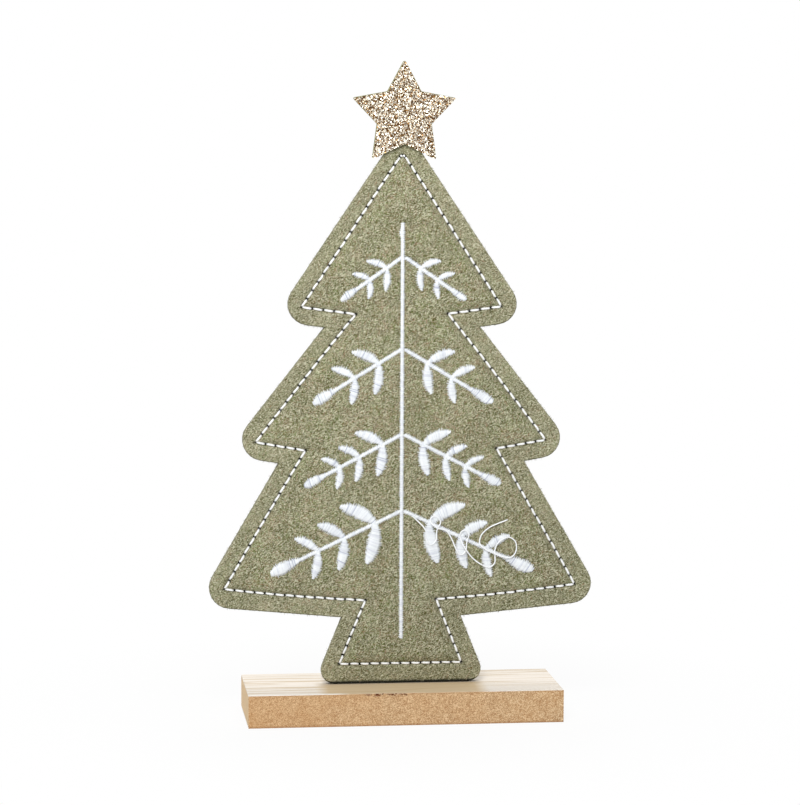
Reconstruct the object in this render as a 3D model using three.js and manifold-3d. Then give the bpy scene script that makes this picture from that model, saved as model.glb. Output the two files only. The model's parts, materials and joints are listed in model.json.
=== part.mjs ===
// Felt christmas tree on a wooden foot, in millimetres.
// X is the width, the front faces -Y and Z is up. The origin lies under the middle of the foot.
import * as THREE from 'three';
import { mergeVertices } from 'three/addons/utils/BufferGeometryUtils.js';
import Module from 'manifold-3d';

const wasm = await Module();
wasm.setup();

// Wooden foot
const baseWidth = 145;
const baseDepth = 50;
const baseHeight = 15;
const veneerThickness = 0.6;

// Felt tree: the outline is drawn with sharp corners and then rounded
const treeHeight = 257.5;
const treeHalfWidth = 95.2;
const footGap = 0.3;
const feltThickness = 2.5;
const cutEdgeEasing = 0.4;
const tierTipRadius = 9.6;
const apexRadius = 6;
const footCornerRadius = 6;
const leastCornerRadius = 1;

// Seam: how far it lies inside each kind of edge, and the channel that it draws into the felt
const slopeMargin = 8.1;
const undersideMargin = 8.4;
const lowUndersideMargin = 9.8;
const trunkMargin = 7.4;
const footMargin = 10.1;
const channelDepth = 0.6;
const channelWidth = 1.2;
const channelSlope = 0.5;
const threadDiameter = 1;

// Padding between the felts
const stiffenerThickness = 2.2;
const waddingThickness = 0.9;
const shoulderWidth = 5;
const pocketSlope = 3.2;
const pocketSeamAllowance = 1.2;
const paddingClearance = 0.3;

// Steel pins that hold the tree on the foot
const pinDiameter = 2;
const pinSpacing = 16;
const pinDepthInBase = 12;
const pinDepthInStiffener = 12;
const pinClearance = 0.2;

// Embroidery
const stitchHeight = 0.5;
const stemWidth = 2;
const twigWidth = 1.8;
const stemGap = 0.3;

// Star
const starPoints = 5;
const starRadius = 25;
const starNotchRadius = 13.2;
const starTipRadius = 0.6;
const starBoardThickness = 2;
const glitterThickness = 0.5;
const glitterMargin = 0.3;
const starOverlap = 3.8;

// Loose thread
const looseThreadDiameter = 0.6;
const looseThreadGap = 0.3;

const arcSteps = 5;
const pinSides = 16;
const cutOverrun = 1;
const mergeDistance = 1e-4;

const materials = {
  mdf: { color: 0xc6a57d, roughness: 0.8 },
  veneer: { color: 0xf0e7da, roughness: 0.6 },
  steel: { color: 0xb9bcc0, roughness: 0.35, metalness: 1 },
  stiffener: { color: 0xa48a66, roughness: 0.9 },
  wadding: { color: 0xf2f0ea, roughness: 1 },
  felt: { color: 0x979679, roughness: 1 },
  seamThread: { color: 0xe9ebea, roughness: 0.7 },
  embroidery: { color: 0xf1f2f0, roughness: 0.55 },
  starBoard: { color: 0x8d8458, roughness: 0.8 },
  glitter: { color: 0xbeb29f, roughness: 0.3, metalness: 0.6 },
};

// Corners of the right half of the tree, from the top down, as shares of its half width and height
const outlineShares = [
  [0.628, 0.654],
  [0.378, 0.6417],
  [0.856, 0.4159],
  [0.598, 0.3996],
  [1, 0.1449],
  [0.291, 0.1202],
  [0.422, 0],
];

// The whole object, and the felt tree that stands on its foot with its own origin at the trunk's lower edge
const ornament = new THREE.Group();
const feltTree = new THREE.Group();
feltTree.position.z = baseHeight + footGap;
ornament.add(feltTree);

function addPiece(group, name, look, geometry, x = 0, y = 0, z = 0) {
  const mesh = new THREE.Mesh(geometry, new THREE.MeshStandardMaterial(materials[look]));
  mesh.name = name;
  mesh.position.set(x, y, z);
  group.add(mesh);
}

// Geometry helpers

function toSolid(geometry) {
  const bare = geometry.clone();
  bare.deleteAttribute('normal');
  bare.deleteAttribute('uv');
  const merged = mergeVertices(bare, mergeDistance);
  return new wasm.Manifold(new wasm.Mesh({
    numProp: 3,
    vertProperties: new Float32Array(merged.attributes.position.array),
    triVerts: new Uint32Array(merged.index.array),
  }));
}

function toGeometry(solid) {
  const mesh = solid.getMesh();
  const geometry = new THREE.BufferGeometry();
  geometry.setAttribute('position', new THREE.BufferAttribute(mesh.vertProperties, 3));
  geometry.setIndex(new THREE.BufferAttribute(mesh.triVerts, 1));
  geometry.computeVertexNormals();
  return geometry;
}

function cutFrom(geometry, tools) {
  let solid = toSolid(geometry);
  for (const tool of tools) {
    solid = solid.subtract(toSolid(tool));
  }
  return toGeometry(solid);
}

function joined(geometries) {
  let solid = toSolid(geometries[0]);
  for (const geometry of geometries.slice(1)) {
    solid = solid.add(toSolid(geometry));
  }
  return toGeometry(solid);
}

// A body lofted through levels. Each level is an outline in the XZ plane, counterclockwise as seen from
// the front, at a place y. Levels run from the rear to the front. Its ends are capped, or a closed loop
// of levels makes a ring.
function loft(levels, isRing = false) {
  const count = levels[0].outline.length;
  const positions = levels.flatMap(({ outline, y }) => outline.flatMap(([x, z]) => [x, y, z]));
  const triangles = [];
  const lastStrip = isRing ? levels.length : levels.length - 1;
  for (let level = 0; level < lastStrip; level += 1) {
    const rear = level * count;
    const front = ((level + 1) % levels.length) * count;
    for (let point = 0; point < count; point += 1) {
      const next = (point + 1) % count;
      triangles.push(rear + point, rear + next, front + next);
      triangles.push(rear + point, front + next, front + point);
    }
  }
  if (!isRing) {
    const frontStart = (levels.length - 1) * count;
    for (const [a, b, c] of capTriangles(levels[0].outline)) {
      triangles.push(a, c, b);
    }
    for (const [a, b, c] of capTriangles(levels[levels.length - 1].outline)) {
      triangles.push(frontStart + a, frontStart + b, frontStart + c);
    }
  }
  const geometry = new THREE.BufferGeometry();
  geometry.setAttribute('position', new THREE.Float32BufferAttribute(positions, 3));
  geometry.setIndex(triangles);
  geometry.computeVertexNormals();
  return geometry;
}

function capTriangles(outline) {
  return THREE.ShapeUtils.triangulateShape(outline.map(([x, z]) => new THREE.Vector2(x, z)), []);
}

// The same body on the other side of the plane y = 0
function mirroredToBack(geometry) {
  const mirrored = geometry.clone().scale(1, -1, 1);
  const index = mirrored.index.array;
  for (let corner = 0; corner < index.length; corner += 3) {
    [index[corner + 1], index[corner + 2]] = [index[corner + 2], index[corner + 1]];
  }
  mirrored.computeVertexNormals();
  return mirrored;
}

// Outline of the tree, counterclockwise from the apex down the left side as seen from the front

const kindBelow = ['slope', 'underside', 'slope', 'underside', 'slope', 'lowUnderside', 'trunk'];
const seamMargins = {
  slope: slopeMargin,
  underside: undersideMargin,
  lowUnderside: lowUndersideMargin,
  trunk: trunkMargin,
  foot: footMargin,
};

function treeCorners() {
  const half = [[0, 1], ...outlineShares].map(([xShare, zShare], index) => ({
    x: xShare * treeHalfWidth,
    z: zShare * treeHeight,
    isNotch: index > 0 && index < outlineShares.length && index % 2 === 0,
    radius: tierTipRadius,
  }));
  half[0].radius = apexRadius;
  half[outlineShares.length].radius = footCornerRadius;
  const left = half.slice(1).map((corner) => ({ ...corner, x: -corner.x }));
  const right = half.slice(1).reverse();
  return [half[0], ...left, ...right];
}

function edgeMargins() {
  const upward = [...kindBelow].reverse();
  return [...kindBelow, 'foot', ...upward].map((kind) => seamMargins[kind]);
}

const corners = treeCorners();
const margins = edgeMargins();

// The point where two edges meet once each has moved inwards by its own distance
function insetCorner(previous, corner, next, insetBefore, insetAfter) {
  const before = new THREE.Vector2(corner.x - previous.x, corner.z - previous.z).normalize();
  const after = new THREE.Vector2(next.x - corner.x, next.z - corner.z).normalize();
  const startBefore = new THREE.Vector2(corner.x - before.y * insetBefore, corner.z + before.x * insetBefore);
  const startAfter = new THREE.Vector2(corner.x - after.y * insetAfter, corner.z + after.x * insetAfter);
  const gap = startAfter.clone().sub(startBefore);
  const along = (gap.x * after.y - gap.y * after.x) / (before.x * after.y - before.y * after.x);
  return { point: startBefore.addScaledVector(before, along), before, after };
}

// A rounded convex corner as points on its arc
function arcPoints({ point, before, after }, radius) {
  const turn = Math.acos(THREE.MathUtils.clamp(before.dot(after), -1, 1));
  const tangent = radius * Math.tan(turn / 2);
  const start = point.clone().addScaledVector(before, -tangent);
  const centre = start.clone().add(new THREE.Vector2(-before.y, before.x).multiplyScalar(radius));
  return Array.from({ length: arcSteps + 1 }, (_, step) => {
    const angle = (turn * step) / arcSteps;
    const arm = start.clone().rotateAround(centre, angle);
    return [arm.x, arm.y];
  });
}

// The tree's outline moved inwards by a share of each edge's seam margin and a further distance
function treeRing(marginShare, further) {
  return corners.flatMap((corner, index) => {
    const last = corners.length - 1;
    const previous = corners[index === 0 ? last : index - 1];
    const next = corners[index === last ? 0 : index + 1];
    const insetBefore = marginShare * margins[index === 0 ? last : index - 1] + further;
    const insetAfter = marginShare * margins[index] + further;
    const moved = insetCorner(previous, corner, next, insetBefore, insetAfter);
    if (corner.isNotch) {
      return [[moved.point.x, moved.point.y]];
    }
    const inset = Math.min(insetBefore, insetAfter);
    return arcPoints(moved, Math.max(corner.radius - inset, leastCornerRadius));
  });
}

// Wooden foot, with a bore for each pin

const pinXs = [-pinSpacing / 2, pinSpacing / 2];
const boreRadius = pinDiameter / 2 + pinClearance;
const coreThickness = baseHeight - 2 * veneerThickness;
const boreDepthInCore = pinDepthInBase - veneerThickness;

// A round bar along Z from its lower end
function bar(radius, length, x, bottom) {
  const geometry = new THREE.CylinderGeometry(radius, radius, length, pinSides);
  geometry.rotateX(Math.PI / 2);
  geometry.translate(x, 0, bottom + length / 2);
  return geometry;
}

// A board of the foot, with its underside at z = 0 and its bores sunk to a depth from the top
function footBoard(thickness, boreDepth) {
  const board = new THREE.BoxGeometry(baseWidth, baseDepth, thickness);
  board.translate(0, 0, thickness / 2);
  const bottom = thickness - boreDepth;
  return cutFrom(board, pinXs.map((x) => bar(boreRadius, boreDepth + cutOverrun, x, bottom)));
}

const topVeneer = footBoard(veneerThickness, veneerThickness + cutOverrun);
const core = footBoard(coreThickness, boreDepthInCore);
const bottomVeneer = new THREE.BoxGeometry(baseWidth, baseDepth, veneerThickness);
addPiece(ornament, 'base_bottom_veneer', 'veneer', bottomVeneer, 0, 0, veneerThickness / 2);
addPiece(ornament, 'base_core', 'mdf', core, 0, 0, veneerThickness);
addPiece(ornament, 'base_top_veneer', 'veneer', topVeneer, 0, 0, baseHeight - veneerThickness);

// Padding: a stiffener with a slot for each pin, and a wadding on each side of it

const stiffenerHalf = stiffenerThickness / 2;
const pocketDepth = stiffenerHalf + waddingThickness;
const stiffenerBottom = footMargin + shoulderWidth;
const pinTop = stiffenerBottom + pinDepthInStiffener;
const slotTop = pinTop + paddingClearance;

function paddingSheet(rear, front) {
  const outline = treeRing(1, shoulderWidth);
  return loft([{ outline, y: rear }, { outline, y: front }]);
}

function slot(x) {
  const length = slotTop - stiffenerBottom + cutOverrun;
  const geometry = new THREE.BoxGeometry(2 * boreRadius, stiffenerThickness + 2 * cutOverrun, length);
  geometry.translate(x, 0, slotTop - length / 2);
  return geometry;
}

const stiffener = cutFrom(paddingSheet(stiffenerHalf, -stiffenerHalf), pinXs.map(slot));
const wadding = paddingSheet(-stiffenerHalf, -pocketDepth);
addPiece(feltTree, 'stiffener', 'stiffener', stiffener);
addPiece(feltTree, 'front_wadding', 'wadding', wadding);
addPiece(feltTree, 'back_wadding', 'wadding', mirroredToBack(wadding));

// Steel pins, from the bores of the foot into the slots of the stiffener

const pinBottom = -footGap - pinDepthInBase;
['fixing_pin_left', 'fixing_pin_right'].forEach((name, index) => {
  const pin = bar(pinDiameter / 2, pinTop - pinBottom, 0, 0);
  addPiece(feltTree, name, 'steel', pin, pinXs[index], 0, pinBottom);
});

// Felts: a flat rim, a channel that the seam draws in, a rounded shoulder and a flat padded middle

const faceDepth = pocketDepth + feltThickness;
const channelFloor = feltThickness - channelDepth;

// The shoulder's places from the channel to the padded middle, as shares of its width and its rise
const shoulderShares = [[0.08, 0.25], [0.45, 0.75], [1, 1]];

function feltPanel() {
  const channelHalf = channelWidth / 2;
  const channelEdge = channelHalf + channelSlope;
  const pocketEnd = pocketSeamAllowance + pocketSlope;
  const shoulder = shoulderShares.map(([acrossShare, riseShare]) => ({
    outline: treeRing(1, channelEdge + acrossShare * (shoulderWidth - channelEdge)),
    y: -feltThickness - riseShare * pocketDepth,
  }));
  const panel = loft([
    { outline: treeRing(1, pocketEnd), y: -pocketDepth },
    { outline: treeRing(1, pocketSeamAllowance), y: 0 },
    { outline: treeRing(0, 0), y: 0 },
    { outline: treeRing(0, 0), y: cutEdgeEasing - feltThickness },
    { outline: treeRing(0, cutEdgeEasing), y: -feltThickness },
    { outline: treeRing(1, -channelEdge), y: -feltThickness },
    { outline: treeRing(1, -channelHalf), y: -channelFloor },
    { outline: treeRing(1, channelHalf), y: -channelFloor },
    ...shoulder,
  ]);
  return cutFrom(panel, pinXs.map((x) => bar(boreRadius, slotTop + cutOverrun, x, -cutOverrun)));
}

const felt = feltPanel();
addPiece(feltTree, 'felt_front', 'felt', felt);
addPiece(feltTree, 'felt_back', 'felt', mirroredToBack(felt));

// Seam threads: one six-sided loop in each channel

const seamSectionShares = [[-0.5, 0], [-1, 0.5], [-0.5, 1], [0.5, 1], [1, 0.5], [0.5, 0]];

function seamLoop() {
  const threadRadius = threadDiameter / 2;
  const threadHeight = threadDiameter * Math.cos(Math.PI / seamSectionShares.length);
  const levels = seamSectionShares.map(([acrossShare, heightShare]) => ({
    outline: treeRing(1, acrossShare * threadRadius),
    y: -channelFloor - heightShare * threadHeight,
  }));
  return loft(levels, true);
}

const seam = seamLoop();
addPiece(feltTree, 'seam_needle_thread', 'seamThread', seam);
addPiece(feltTree, 'seam_bobbin_thread', 'seamThread', mirroredToBack(seam));

// Embroidery: low rounded ridges of satin stitch on the padded front

const crownShare = 0.6;
const stemTopShare = 0.8276;
const stemFootShare = 0.083;

// The outline of a ridge: both sides of its middle line, at a share of the half width at each point
function ridgeOutline(points, halfWidths, widthShare) {
  const arms = points.map((point, index) => {
    const before = points[Math.max(index - 1, 0)];
    const after = points[Math.min(index + 1, points.length - 1)];
    const along = after.clone().sub(before).normalize();
    return new THREE.Vector2(-along.y, along.x).multiplyScalar(halfWidths[index] * widthShare);
  });
  const left = points.map((point, index) => point.clone().add(arms[index]));
  const right = points.map((point, index) => point.clone().sub(arms[index]));
  return [...right, ...left.reverse()].map((point) => [point.x, point.y]);
}

function stitchedRidge(points, halfWidths) {
  return loft([
    { outline: ridgeOutline(points, halfWidths, 1), y: 0 },
    { outline: ridgeOutline(points, halfWidths, crownShare), y: -stitchHeight },
  ]);
}

const stemEnds = [stemFootShare, stemTopShare].map((share) => new THREE.Vector2(0, share * treeHeight));
const stem = stitchedRidge(stemEnds, [stemWidth / 2, stemWidth / 2]);
addPiece(feltTree, 'embroidered_stem', 'embroidery', stem, 0, -faceDepth);

// Places along a leaf as shares of its length, with its half width there as a share of the largest one
const leafShares = [[0, 0.12], [0.12, 0.52], [0.3, 0.9], [0.5, 1], [0.7, 0.86], [0.87, 0.5], [1, 0.1]];

// bendShare is how far the leaf's middle bows out to its left, as a share of its length
function leaf(start, end, width, bendShare) {
  const along = end.clone().sub(start);
  const across = new THREE.Vector2(-along.y, along.x);
  const points = leafShares.map(([share]) => {
    const bow = bendShare * Math.sin(Math.PI * share);
    return start.clone().addScaledVector(along, share).addScaledVector(across, bow);
  });
  return stitchedRidge(points, leafShares.map(([, widthShare]) => (widthShare * width) / 2));
}

// A sprig from its foot on the stem to its tip, with places and widths as shares of its length.
// Each pair has its joint on the twig, the tips of its upper and lower leaf and their widths.
const shortSprigShares = {
  pairs: [
    { joint: 0.27, upper: [0.435, 0.225], lower: [0.455, -0.23], widths: [0.092, 0.096] },
    { joint: 0.54, upper: [0.68, 0.195], lower: [0.695, -0.19], widths: [0.08, 0.086] },
  ],
  bud: { start: 0.765, width: 0.098 },
};
const longSprigShares = {
  pairs: [
    { joint: 0.205, upper: [0.375, 0.212], lower: [0.377, -0.225], widths: [0.095, 0.0975] },
    { joint: 0.441, upper: [0.568, 0.166], lower: [0.572, -0.178], widths: [0.072, 0.075] },
    { joint: 0.64, upper: [0.75, 0.148], lower: [0.756, -0.157], widths: [0.061, 0.066] },
  ],
  bud: { start: 0.805, width: 0.086 },
};
const upperBendShare = 0.07;
const lowerBendShare = -0.06;

// Height on the stem as a share of the tree's height, length as a share of its half width, drop in degrees
const sprigRows = [
  { heightShare: 0.769, lengthShare: 0.367, drop: 35, plan: shortSprigShares },
  { heightShare: 0.605, lengthShare: 0.508, drop: 31.3, plan: shortSprigShares },
  { heightShare: 0.452, lengthShare: 0.537, drop: 27.7, plan: longSprigShares },
  { heightShare: 0.3145, lengthShare: 0.706, drop: 25.3, plan: longSprigShares },
];

// side is 1 for the right and -1 for the left. The sprig's foot, in the middle of the stem, is its origin.
function sprigGeometry({ lengthShare, drop, plan }, side) {
  const length = lengthShare * treeHalfWidth;
  const fall = THREE.MathUtils.degToRad(drop);
  const outwards = new THREE.Vector2(side * Math.cos(fall), -Math.sin(fall)).multiplyScalar(length);
  const upwards = new THREE.Vector2(-outwards.y * side, outwards.x * side);
  const at = (along, up) => outwards.clone().multiplyScalar(along).addScaledVector(upwards, up);
  const leaves = plan.pairs.flatMap(({ joint, upper, lower, widths }) => [
    leaf(at(joint, 0), at(...upper), widths[0] * length, side * upperBendShare),
    leaf(at(joint, 0), at(...lower), widths[1] * length, side * lowerBendShare),
  ]);
  const twigHalf = twigWidth / 2;
  const twigStart = (stemWidth / 2 + stemGap + twigHalf * Math.sin(fall)) / (length * Math.cos(fall));
  const twig = stitchedRidge([at(twigStart, 0), at(plan.bud.start, 0)], [twigHalf, twigHalf]);
  const budStart = plan.bud.start - twigHalf / length;
  const bud = leaf(at(budStart, 0), at(1, 0), plan.bud.width * length, 0);
  return joined([twig, ...leaves, bud]);
}

sprigRows.forEach((row, index) => {
  const z = row.heightShare * treeHeight;
  const level = index + 1;
  addPiece(feltTree, `sprig_${level}_left`, 'embroidery', sprigGeometry(row, -1), 0, -faceDepth, z);
  addPiece(feltTree, `sprig_${level}_right`, 'embroidery', sprigGeometry(row, 1), 0, -faceDepth, z);
});

// Loose thread: its route over the lowest right sprig. Each point is x, the height above the trunk's lower
// edge, and what the thread lies on there.
const looseThreadRoute = [
  [4.4, 78.5, 'stitches'],
  [10.5, 71.8, 'stitches'],
  [11, 67.2, 'stitches'],
  [12.4, 65.2, 'stitches'],
  [13.9, 65.2, 'stitches'],
  [15.6, 67.3, 'stitches'],
  [15.8, 71.4, 'stitches'],
  [17.5, 75.7, 'stitches'],
  [15.2, 78.2, 'stitches'],
  [13.4, 77.7, 'stitches'],
  [12.8, 75.9, 'stitches'],
  [15.7, 72.9, 'thread'],
  [19.9, 71.6, 'stitches'],
  [22.6, 67.8, 'felt'],
  [25, 62.2, 'stitches'],
  [26.3, 60.3, 'stitches'],
  [28, 60.3, 'stitches'],
  [29.4, 62.2, 'stitches'],
  [29.8, 66, 'stitches'],
  [30.7, 69.5, 'stitches'],
  [29.6, 71.2, 'stitches'],
  [28, 71.4, 'stitches'],
  [26.6, 69.7, 'stitches'],
  [27.4, 66.2, 'stitches'],
  [29.2, 62.7, 'thread'],
  [33.2, 57.8, 'felt'],
  [37.5, 54.9, 'stitches'],
  [40.5, 54.1, 'stitches'],
  [42.9, 55.9, 'felt'],
  [43, 62.3, 'stitches'],
  [44.8, 65.8, 'stitches'],
  [49.2, 68, 'stitches'],
  [52.6, 65.7, 'felt'],
  [52.9, 61.4, 'felt'],
  [50.4, 58.5, 'stitches'],
  [43.4, 60.2, 'thread'],
  [36.1, 64.6, 'stitches'],
  [36.4, 68.6, 'felt'],
  [40, 72.3, 'felt'],
  [48.9, 76.1, 'felt'],
];
const routeSteps = 140;
const tubeSides = 8;

function looseThreadGeometry() {
  const radius = looseThreadDiameter / 2;
  const onFelt = looseThreadGap + radius;
  const onStitches = onFelt + stitchHeight;
  const overItself = onStitches + looseThreadDiameter + looseThreadGap;
  const lift = { felt: onFelt, stitches: onStitches, thread: overItself };
  const points = looseThreadRoute.map(([x, z, under]) => new THREE.Vector3(x, -lift[under], z));
  const section = new THREE.Shape(Array.from({ length: tubeSides }, (_, side) => {
    const angle = (2 * Math.PI * side) / tubeSides;
    return new THREE.Vector2(radius * Math.cos(angle), radius * Math.sin(angle));
  }));
  const extrudePath = new THREE.CatmullRomCurve3(points, false, 'centripetal');
  return new THREE.ExtrudeGeometry(section, { steps: routeSteps, extrudePath });
}

addPiece(feltTree, 'loose_thread', 'seamThread', looseThreadGeometry(), 0, -faceDepth);

// Star: a board glued on the rim of the front felt, with a glitter layer on its face

// The star's notch reaches down over the rounded top of the felt
function starHeight() {
  const [xShare, zShare] = outlineShares[0];
  const across = xShare * treeHalfWidth;
  const slope = Math.hypot(across, (1 - zShare) * treeHeight);
  const feltTop = treeHeight - apexRadius * (slope / across - 1);
  return feltTop - starOverlap + starNotchRadius;
}

function starOutline(margin) {
  const count = 2 * starPoints;
  const points = Array.from({ length: count }, (_, index) => {
    const radius = index % 2 === 0 ? starRadius : starNotchRadius;
    const angle = Math.PI / 2 + (index * Math.PI) / starPoints;
    return { x: radius * Math.cos(angle), z: radius * Math.sin(angle) };
  });
  return points.flatMap((corner, index) => {
    const previous = points[(index + count - 1) % count];
    const next = points[(index + 1) % count];
    const moved = insetCorner(previous, corner, next, margin, margin);
    return index % 2 === 0 ? arcPoints(moved, starTipRadius) : [[moved.point.x, moved.point.y]];
  });
}

const star = new THREE.Group();
star.position.set(0, -feltThickness, starHeight());
feltTree.add(star);
const starBoard = loft([
  { outline: starOutline(0), y: 0 },
  { outline: starOutline(0), y: -starBoardThickness },
]);
const glitter = loft([
  { outline: starOutline(0), y: 0 },
  { outline: starOutline(glitterMargin), y: -glitterThickness },
]);
addPiece(star, 'star_board', 'starBoard', starBoard);
addPiece(star, 'star_glitter', 'glitter', glitter, 0, -starBoardThickness);

export default ornament;
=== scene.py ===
# Felt christmas tree on its wooden foot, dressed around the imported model.
# Sizes are in millimetres with z from the trunk's lower edge, unless a note says otherwise.
import json
import math

import bmesh
import bpy
import numpy as np
from mathutils import Matrix, Vector, kdtree, noise
from mathutils.geometry import delaunay_2d_cdt


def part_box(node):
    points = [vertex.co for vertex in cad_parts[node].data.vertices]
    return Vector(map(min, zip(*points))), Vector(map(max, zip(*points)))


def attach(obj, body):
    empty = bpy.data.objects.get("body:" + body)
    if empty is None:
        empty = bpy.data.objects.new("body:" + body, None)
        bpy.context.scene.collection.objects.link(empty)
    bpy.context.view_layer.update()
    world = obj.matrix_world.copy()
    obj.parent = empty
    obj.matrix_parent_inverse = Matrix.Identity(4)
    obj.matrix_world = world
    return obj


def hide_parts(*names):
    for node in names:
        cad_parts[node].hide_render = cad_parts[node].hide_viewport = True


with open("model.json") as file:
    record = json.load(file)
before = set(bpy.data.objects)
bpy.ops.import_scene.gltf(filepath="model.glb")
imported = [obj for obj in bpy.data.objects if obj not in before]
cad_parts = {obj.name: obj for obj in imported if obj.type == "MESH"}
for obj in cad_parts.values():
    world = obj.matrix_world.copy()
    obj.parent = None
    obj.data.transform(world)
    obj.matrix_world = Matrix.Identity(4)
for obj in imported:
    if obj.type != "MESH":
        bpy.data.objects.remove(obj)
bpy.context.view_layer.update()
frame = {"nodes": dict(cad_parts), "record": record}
millimetre = 0.001
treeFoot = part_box("felt_front")[0].z / millimetre
faceDepth = -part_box("felt_front")[0].y / millimetre


def addObject(name, data):
    thing = bpy.data.objects.new(name, data)
    bpy.context.scene.collection.objects.link(thing)
    return thing


# The camera stands where the photographer's did: place in metres, angles in radians
cameraPlan = {
    "lens": 129.115,
    "sensor": 36,
    "place": (-0.159546, -1.31163, 0.284108),
    "turn": 0.120358,
    "dip": 0.104383,
    "roll": 0.004605,
}


def addCamera(plan):
    data = bpy.data.cameras.new("camera")
    data.lens = plan["lens"]
    data.sensor_width = plan["sensor"]
    camera = addObject("camera", data)
    aimed = Matrix.Rotation(-plan["turn"], 4, "Z") @ Matrix.Rotation(math.pi / 2 - plan["dip"], 4, "X")
    camera.matrix_world = Matrix.Translation(plan["place"]) @ aimed @ Matrix.Rotation(plan["roll"], 4, "Z")
    bpy.context.scene.camera = camera


addCamera(cameraPlan)
print("camera ready")


# Helpers for meshes. Flat places are (x, height) on the tree's plane. A body is its points, its faces
# and its values by name, one for each point.

noPlaces = np.empty((0, 2))


def unit(vectors):
    return vectors / np.linalg.norm(vectors, axis=-1, keepdims=True)


def turnedLeft(flat):
    return np.stack([-flat[..., 1], flat[..., 0]], -1)


# Flat places at a depth, which is less than zero in front
def atDepth(flat, depth):
    return np.stack([flat[..., 0], np.broadcast_to(depth, flat.shape[:-1]), flat[..., 1]], -1)


def toScene(points):
    return (np.asarray(points, float) + (0, 0, treeFoot)) * millimetre


def turnOutwards(mesh):
    work = bmesh.new()
    work.from_mesh(mesh)
    bmesh.ops.recalc_face_normals(work, faces=work.faces)
    work.to_mesh(mesh)
    work.free()


def addPiece(name, body, slotName, *replaced, look=None, smooth=True):
    points, faces, values = body
    mesh = bpy.data.meshes.new(name)
    mesh.from_pydata(toScene(points).tolist(), [], faces)
    for valueName, numbers in values.items():
        layer = mesh.attributes.new(valueName, "FLOAT", "POINT")
        layer.data.foreach_set("value", np.asarray(numbers, np.float32))
    turnOutwards(mesh)
    mesh.polygons.foreach_set("use_smooth", [smooth] * len(mesh.polygons))
    mesh.materials.append(materials[look or slotName])
    piece = addObject(name, mesh)
    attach(piece, "root")
    if replaced:
        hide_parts(*replaced)
    print("made", name, len(mesh.polygons), "faces")
    return piece


def shifted(faces, shift):
    return [[corner + shift for corner in face] for face in faces]


# Four-sided faces between rings that follow each other, each of the same count of points
def ringFaces(count, rings):
    here = np.arange(count)
    beside = (here + 1) % count
    band = np.stack([here, beside, count + beside, count + here], -1)
    return (np.arange(rings - 1)[:, None, None] * count + band).reshape(-1, 4)


# Closed strands side by side. Each strand has a row of centres, and its section is stretched along
# its own across and lift vectors.
def strandBodies(centres, across, lift, section, tones):
    count, steps, _ = centres.shape
    section = np.asarray(section, float)
    sides = section.shape[-2]
    section = np.broadcast_to(section, (steps, sides, 2))
    points = (
        centres[:, :, None]
        + across[:, :, None] * section[None, :, :, 0:1]
        + lift[:, :, None] * section[None, :, :, 1:2]
    )
    starts = np.arange(count)[:, None] * steps * sides
    faces = (starts[:, None] + ringFaces(sides, steps)).reshape(-1, 4).tolist()
    faces += (starts + np.arange(sides)[::-1]).tolist()
    faces += (starts + np.arange(sides) + (steps - 1) * sides).tolist()
    return points.reshape(-1, 3), faces, {"tone": np.repeat(np.asarray(tones, float), steps * sides)}


# Strands whose sections stand square to their way and to the direction that they face
def layStrands(centres, facing, halfWidths, heights, section, tones):
    travel = unit(np.gradient(centres, axis=1))
    across = unit(np.cross(travel, facing))
    return strandBodies(centres, across * halfWidths, np.cross(across, travel) * heights, section, tones)


def joinBodies(bodies):
    faces = []
    total = 0
    for points, bodyFaces, _ in bodies:
        faces += shifted(bodyFaces, total)
        total += len(points)
    tones = np.concatenate([values["tone"] for _, _, values in bodies])
    return np.vstack([points for points, _, _ in bodies]), faces, {"tone": tones}


def circle(sides, radii=1.0):
    angles = np.arange(sides) * 2 * math.pi / sides
    return np.stack([radii * np.cos(angles), radii * np.sin(angles)], -1)


# A twisted yarn's section at each step: a lobe for each ply, turned a little further every step
def yarnSection(plan, turns, steps):
    angles = np.arange(plan["sides"]) * 2 * math.pi / plan["sides"]
    twist = np.linspace(0, turns * 2 * math.pi, steps)[:, None]
    return circle(plan["sides"], 1 + plan["groove"] * np.cos(plan["plies"] * (angles - twist)))


def loopEdges(loops):
    edges = []
    for loop in loops:
        start = len(edges)
        edges += [(start + i, start + (i + 1) % len(loop)) for i in range(len(loop))]
    return edges


# Fills closed loops through extra places: mode 1 with triangles, mode 4 with wide faces around the holes.
# Places closer than mergeReach become one.
mergeReach = 1e-7


def fillLoops(loops, mode=1, places=noPlaces):
    coords = [Vector(point) for point in np.vstack([*loops, places])]
    found = delaunay_2d_cdt(coords, loopEdges(loops), [], mode, mergeReach)
    origin = [sources[0] for sources in found[3]]
    return [[origin[corner] for corner in face] for face in found[2]]


def nearestDistance(flat, places):
    tree = kdtree.KDTree(len(places))
    for index, (x, z) in enumerate(places):
        tree.insert((x, 0, z), index)
    tree.balance()
    return np.array([tree.find((x, 0, z))[2] for x, z in flat])


def roughness(flat, size, layer=0.0):
    return np.array([noise.noise((x / size, layer, z / size)) for x, z in flat])


# How far each place lies inside a closed outline, less than zero outside it
def distanceInside(flat, outline):
    x, z = flat.T
    nearest = np.full(len(flat), 1e9)
    isInside = np.zeros(len(flat), bool)
    for (startX, startZ), (endX, endZ) in zip(outline, np.roll(outline, -1, axis=0)):
        runX = endX - startX
        runZ = endZ - startZ
        share = np.clip(((x - startX) * runX + (z - startZ) * runZ) / (runX ** 2 + runZ ** 2), 0, 1)
        nearest = np.minimum(nearest, np.hypot(x - startX - share * runX, z - startZ - share * runZ))
        if abs(runZ) > 1e-9:
            crosses = (startZ > z) != (endZ > z)
            isInside ^= crosses & (x < startX + (z - startZ) * runX / runZ)
    return np.where(isInside, nearest, -nearest)


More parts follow.
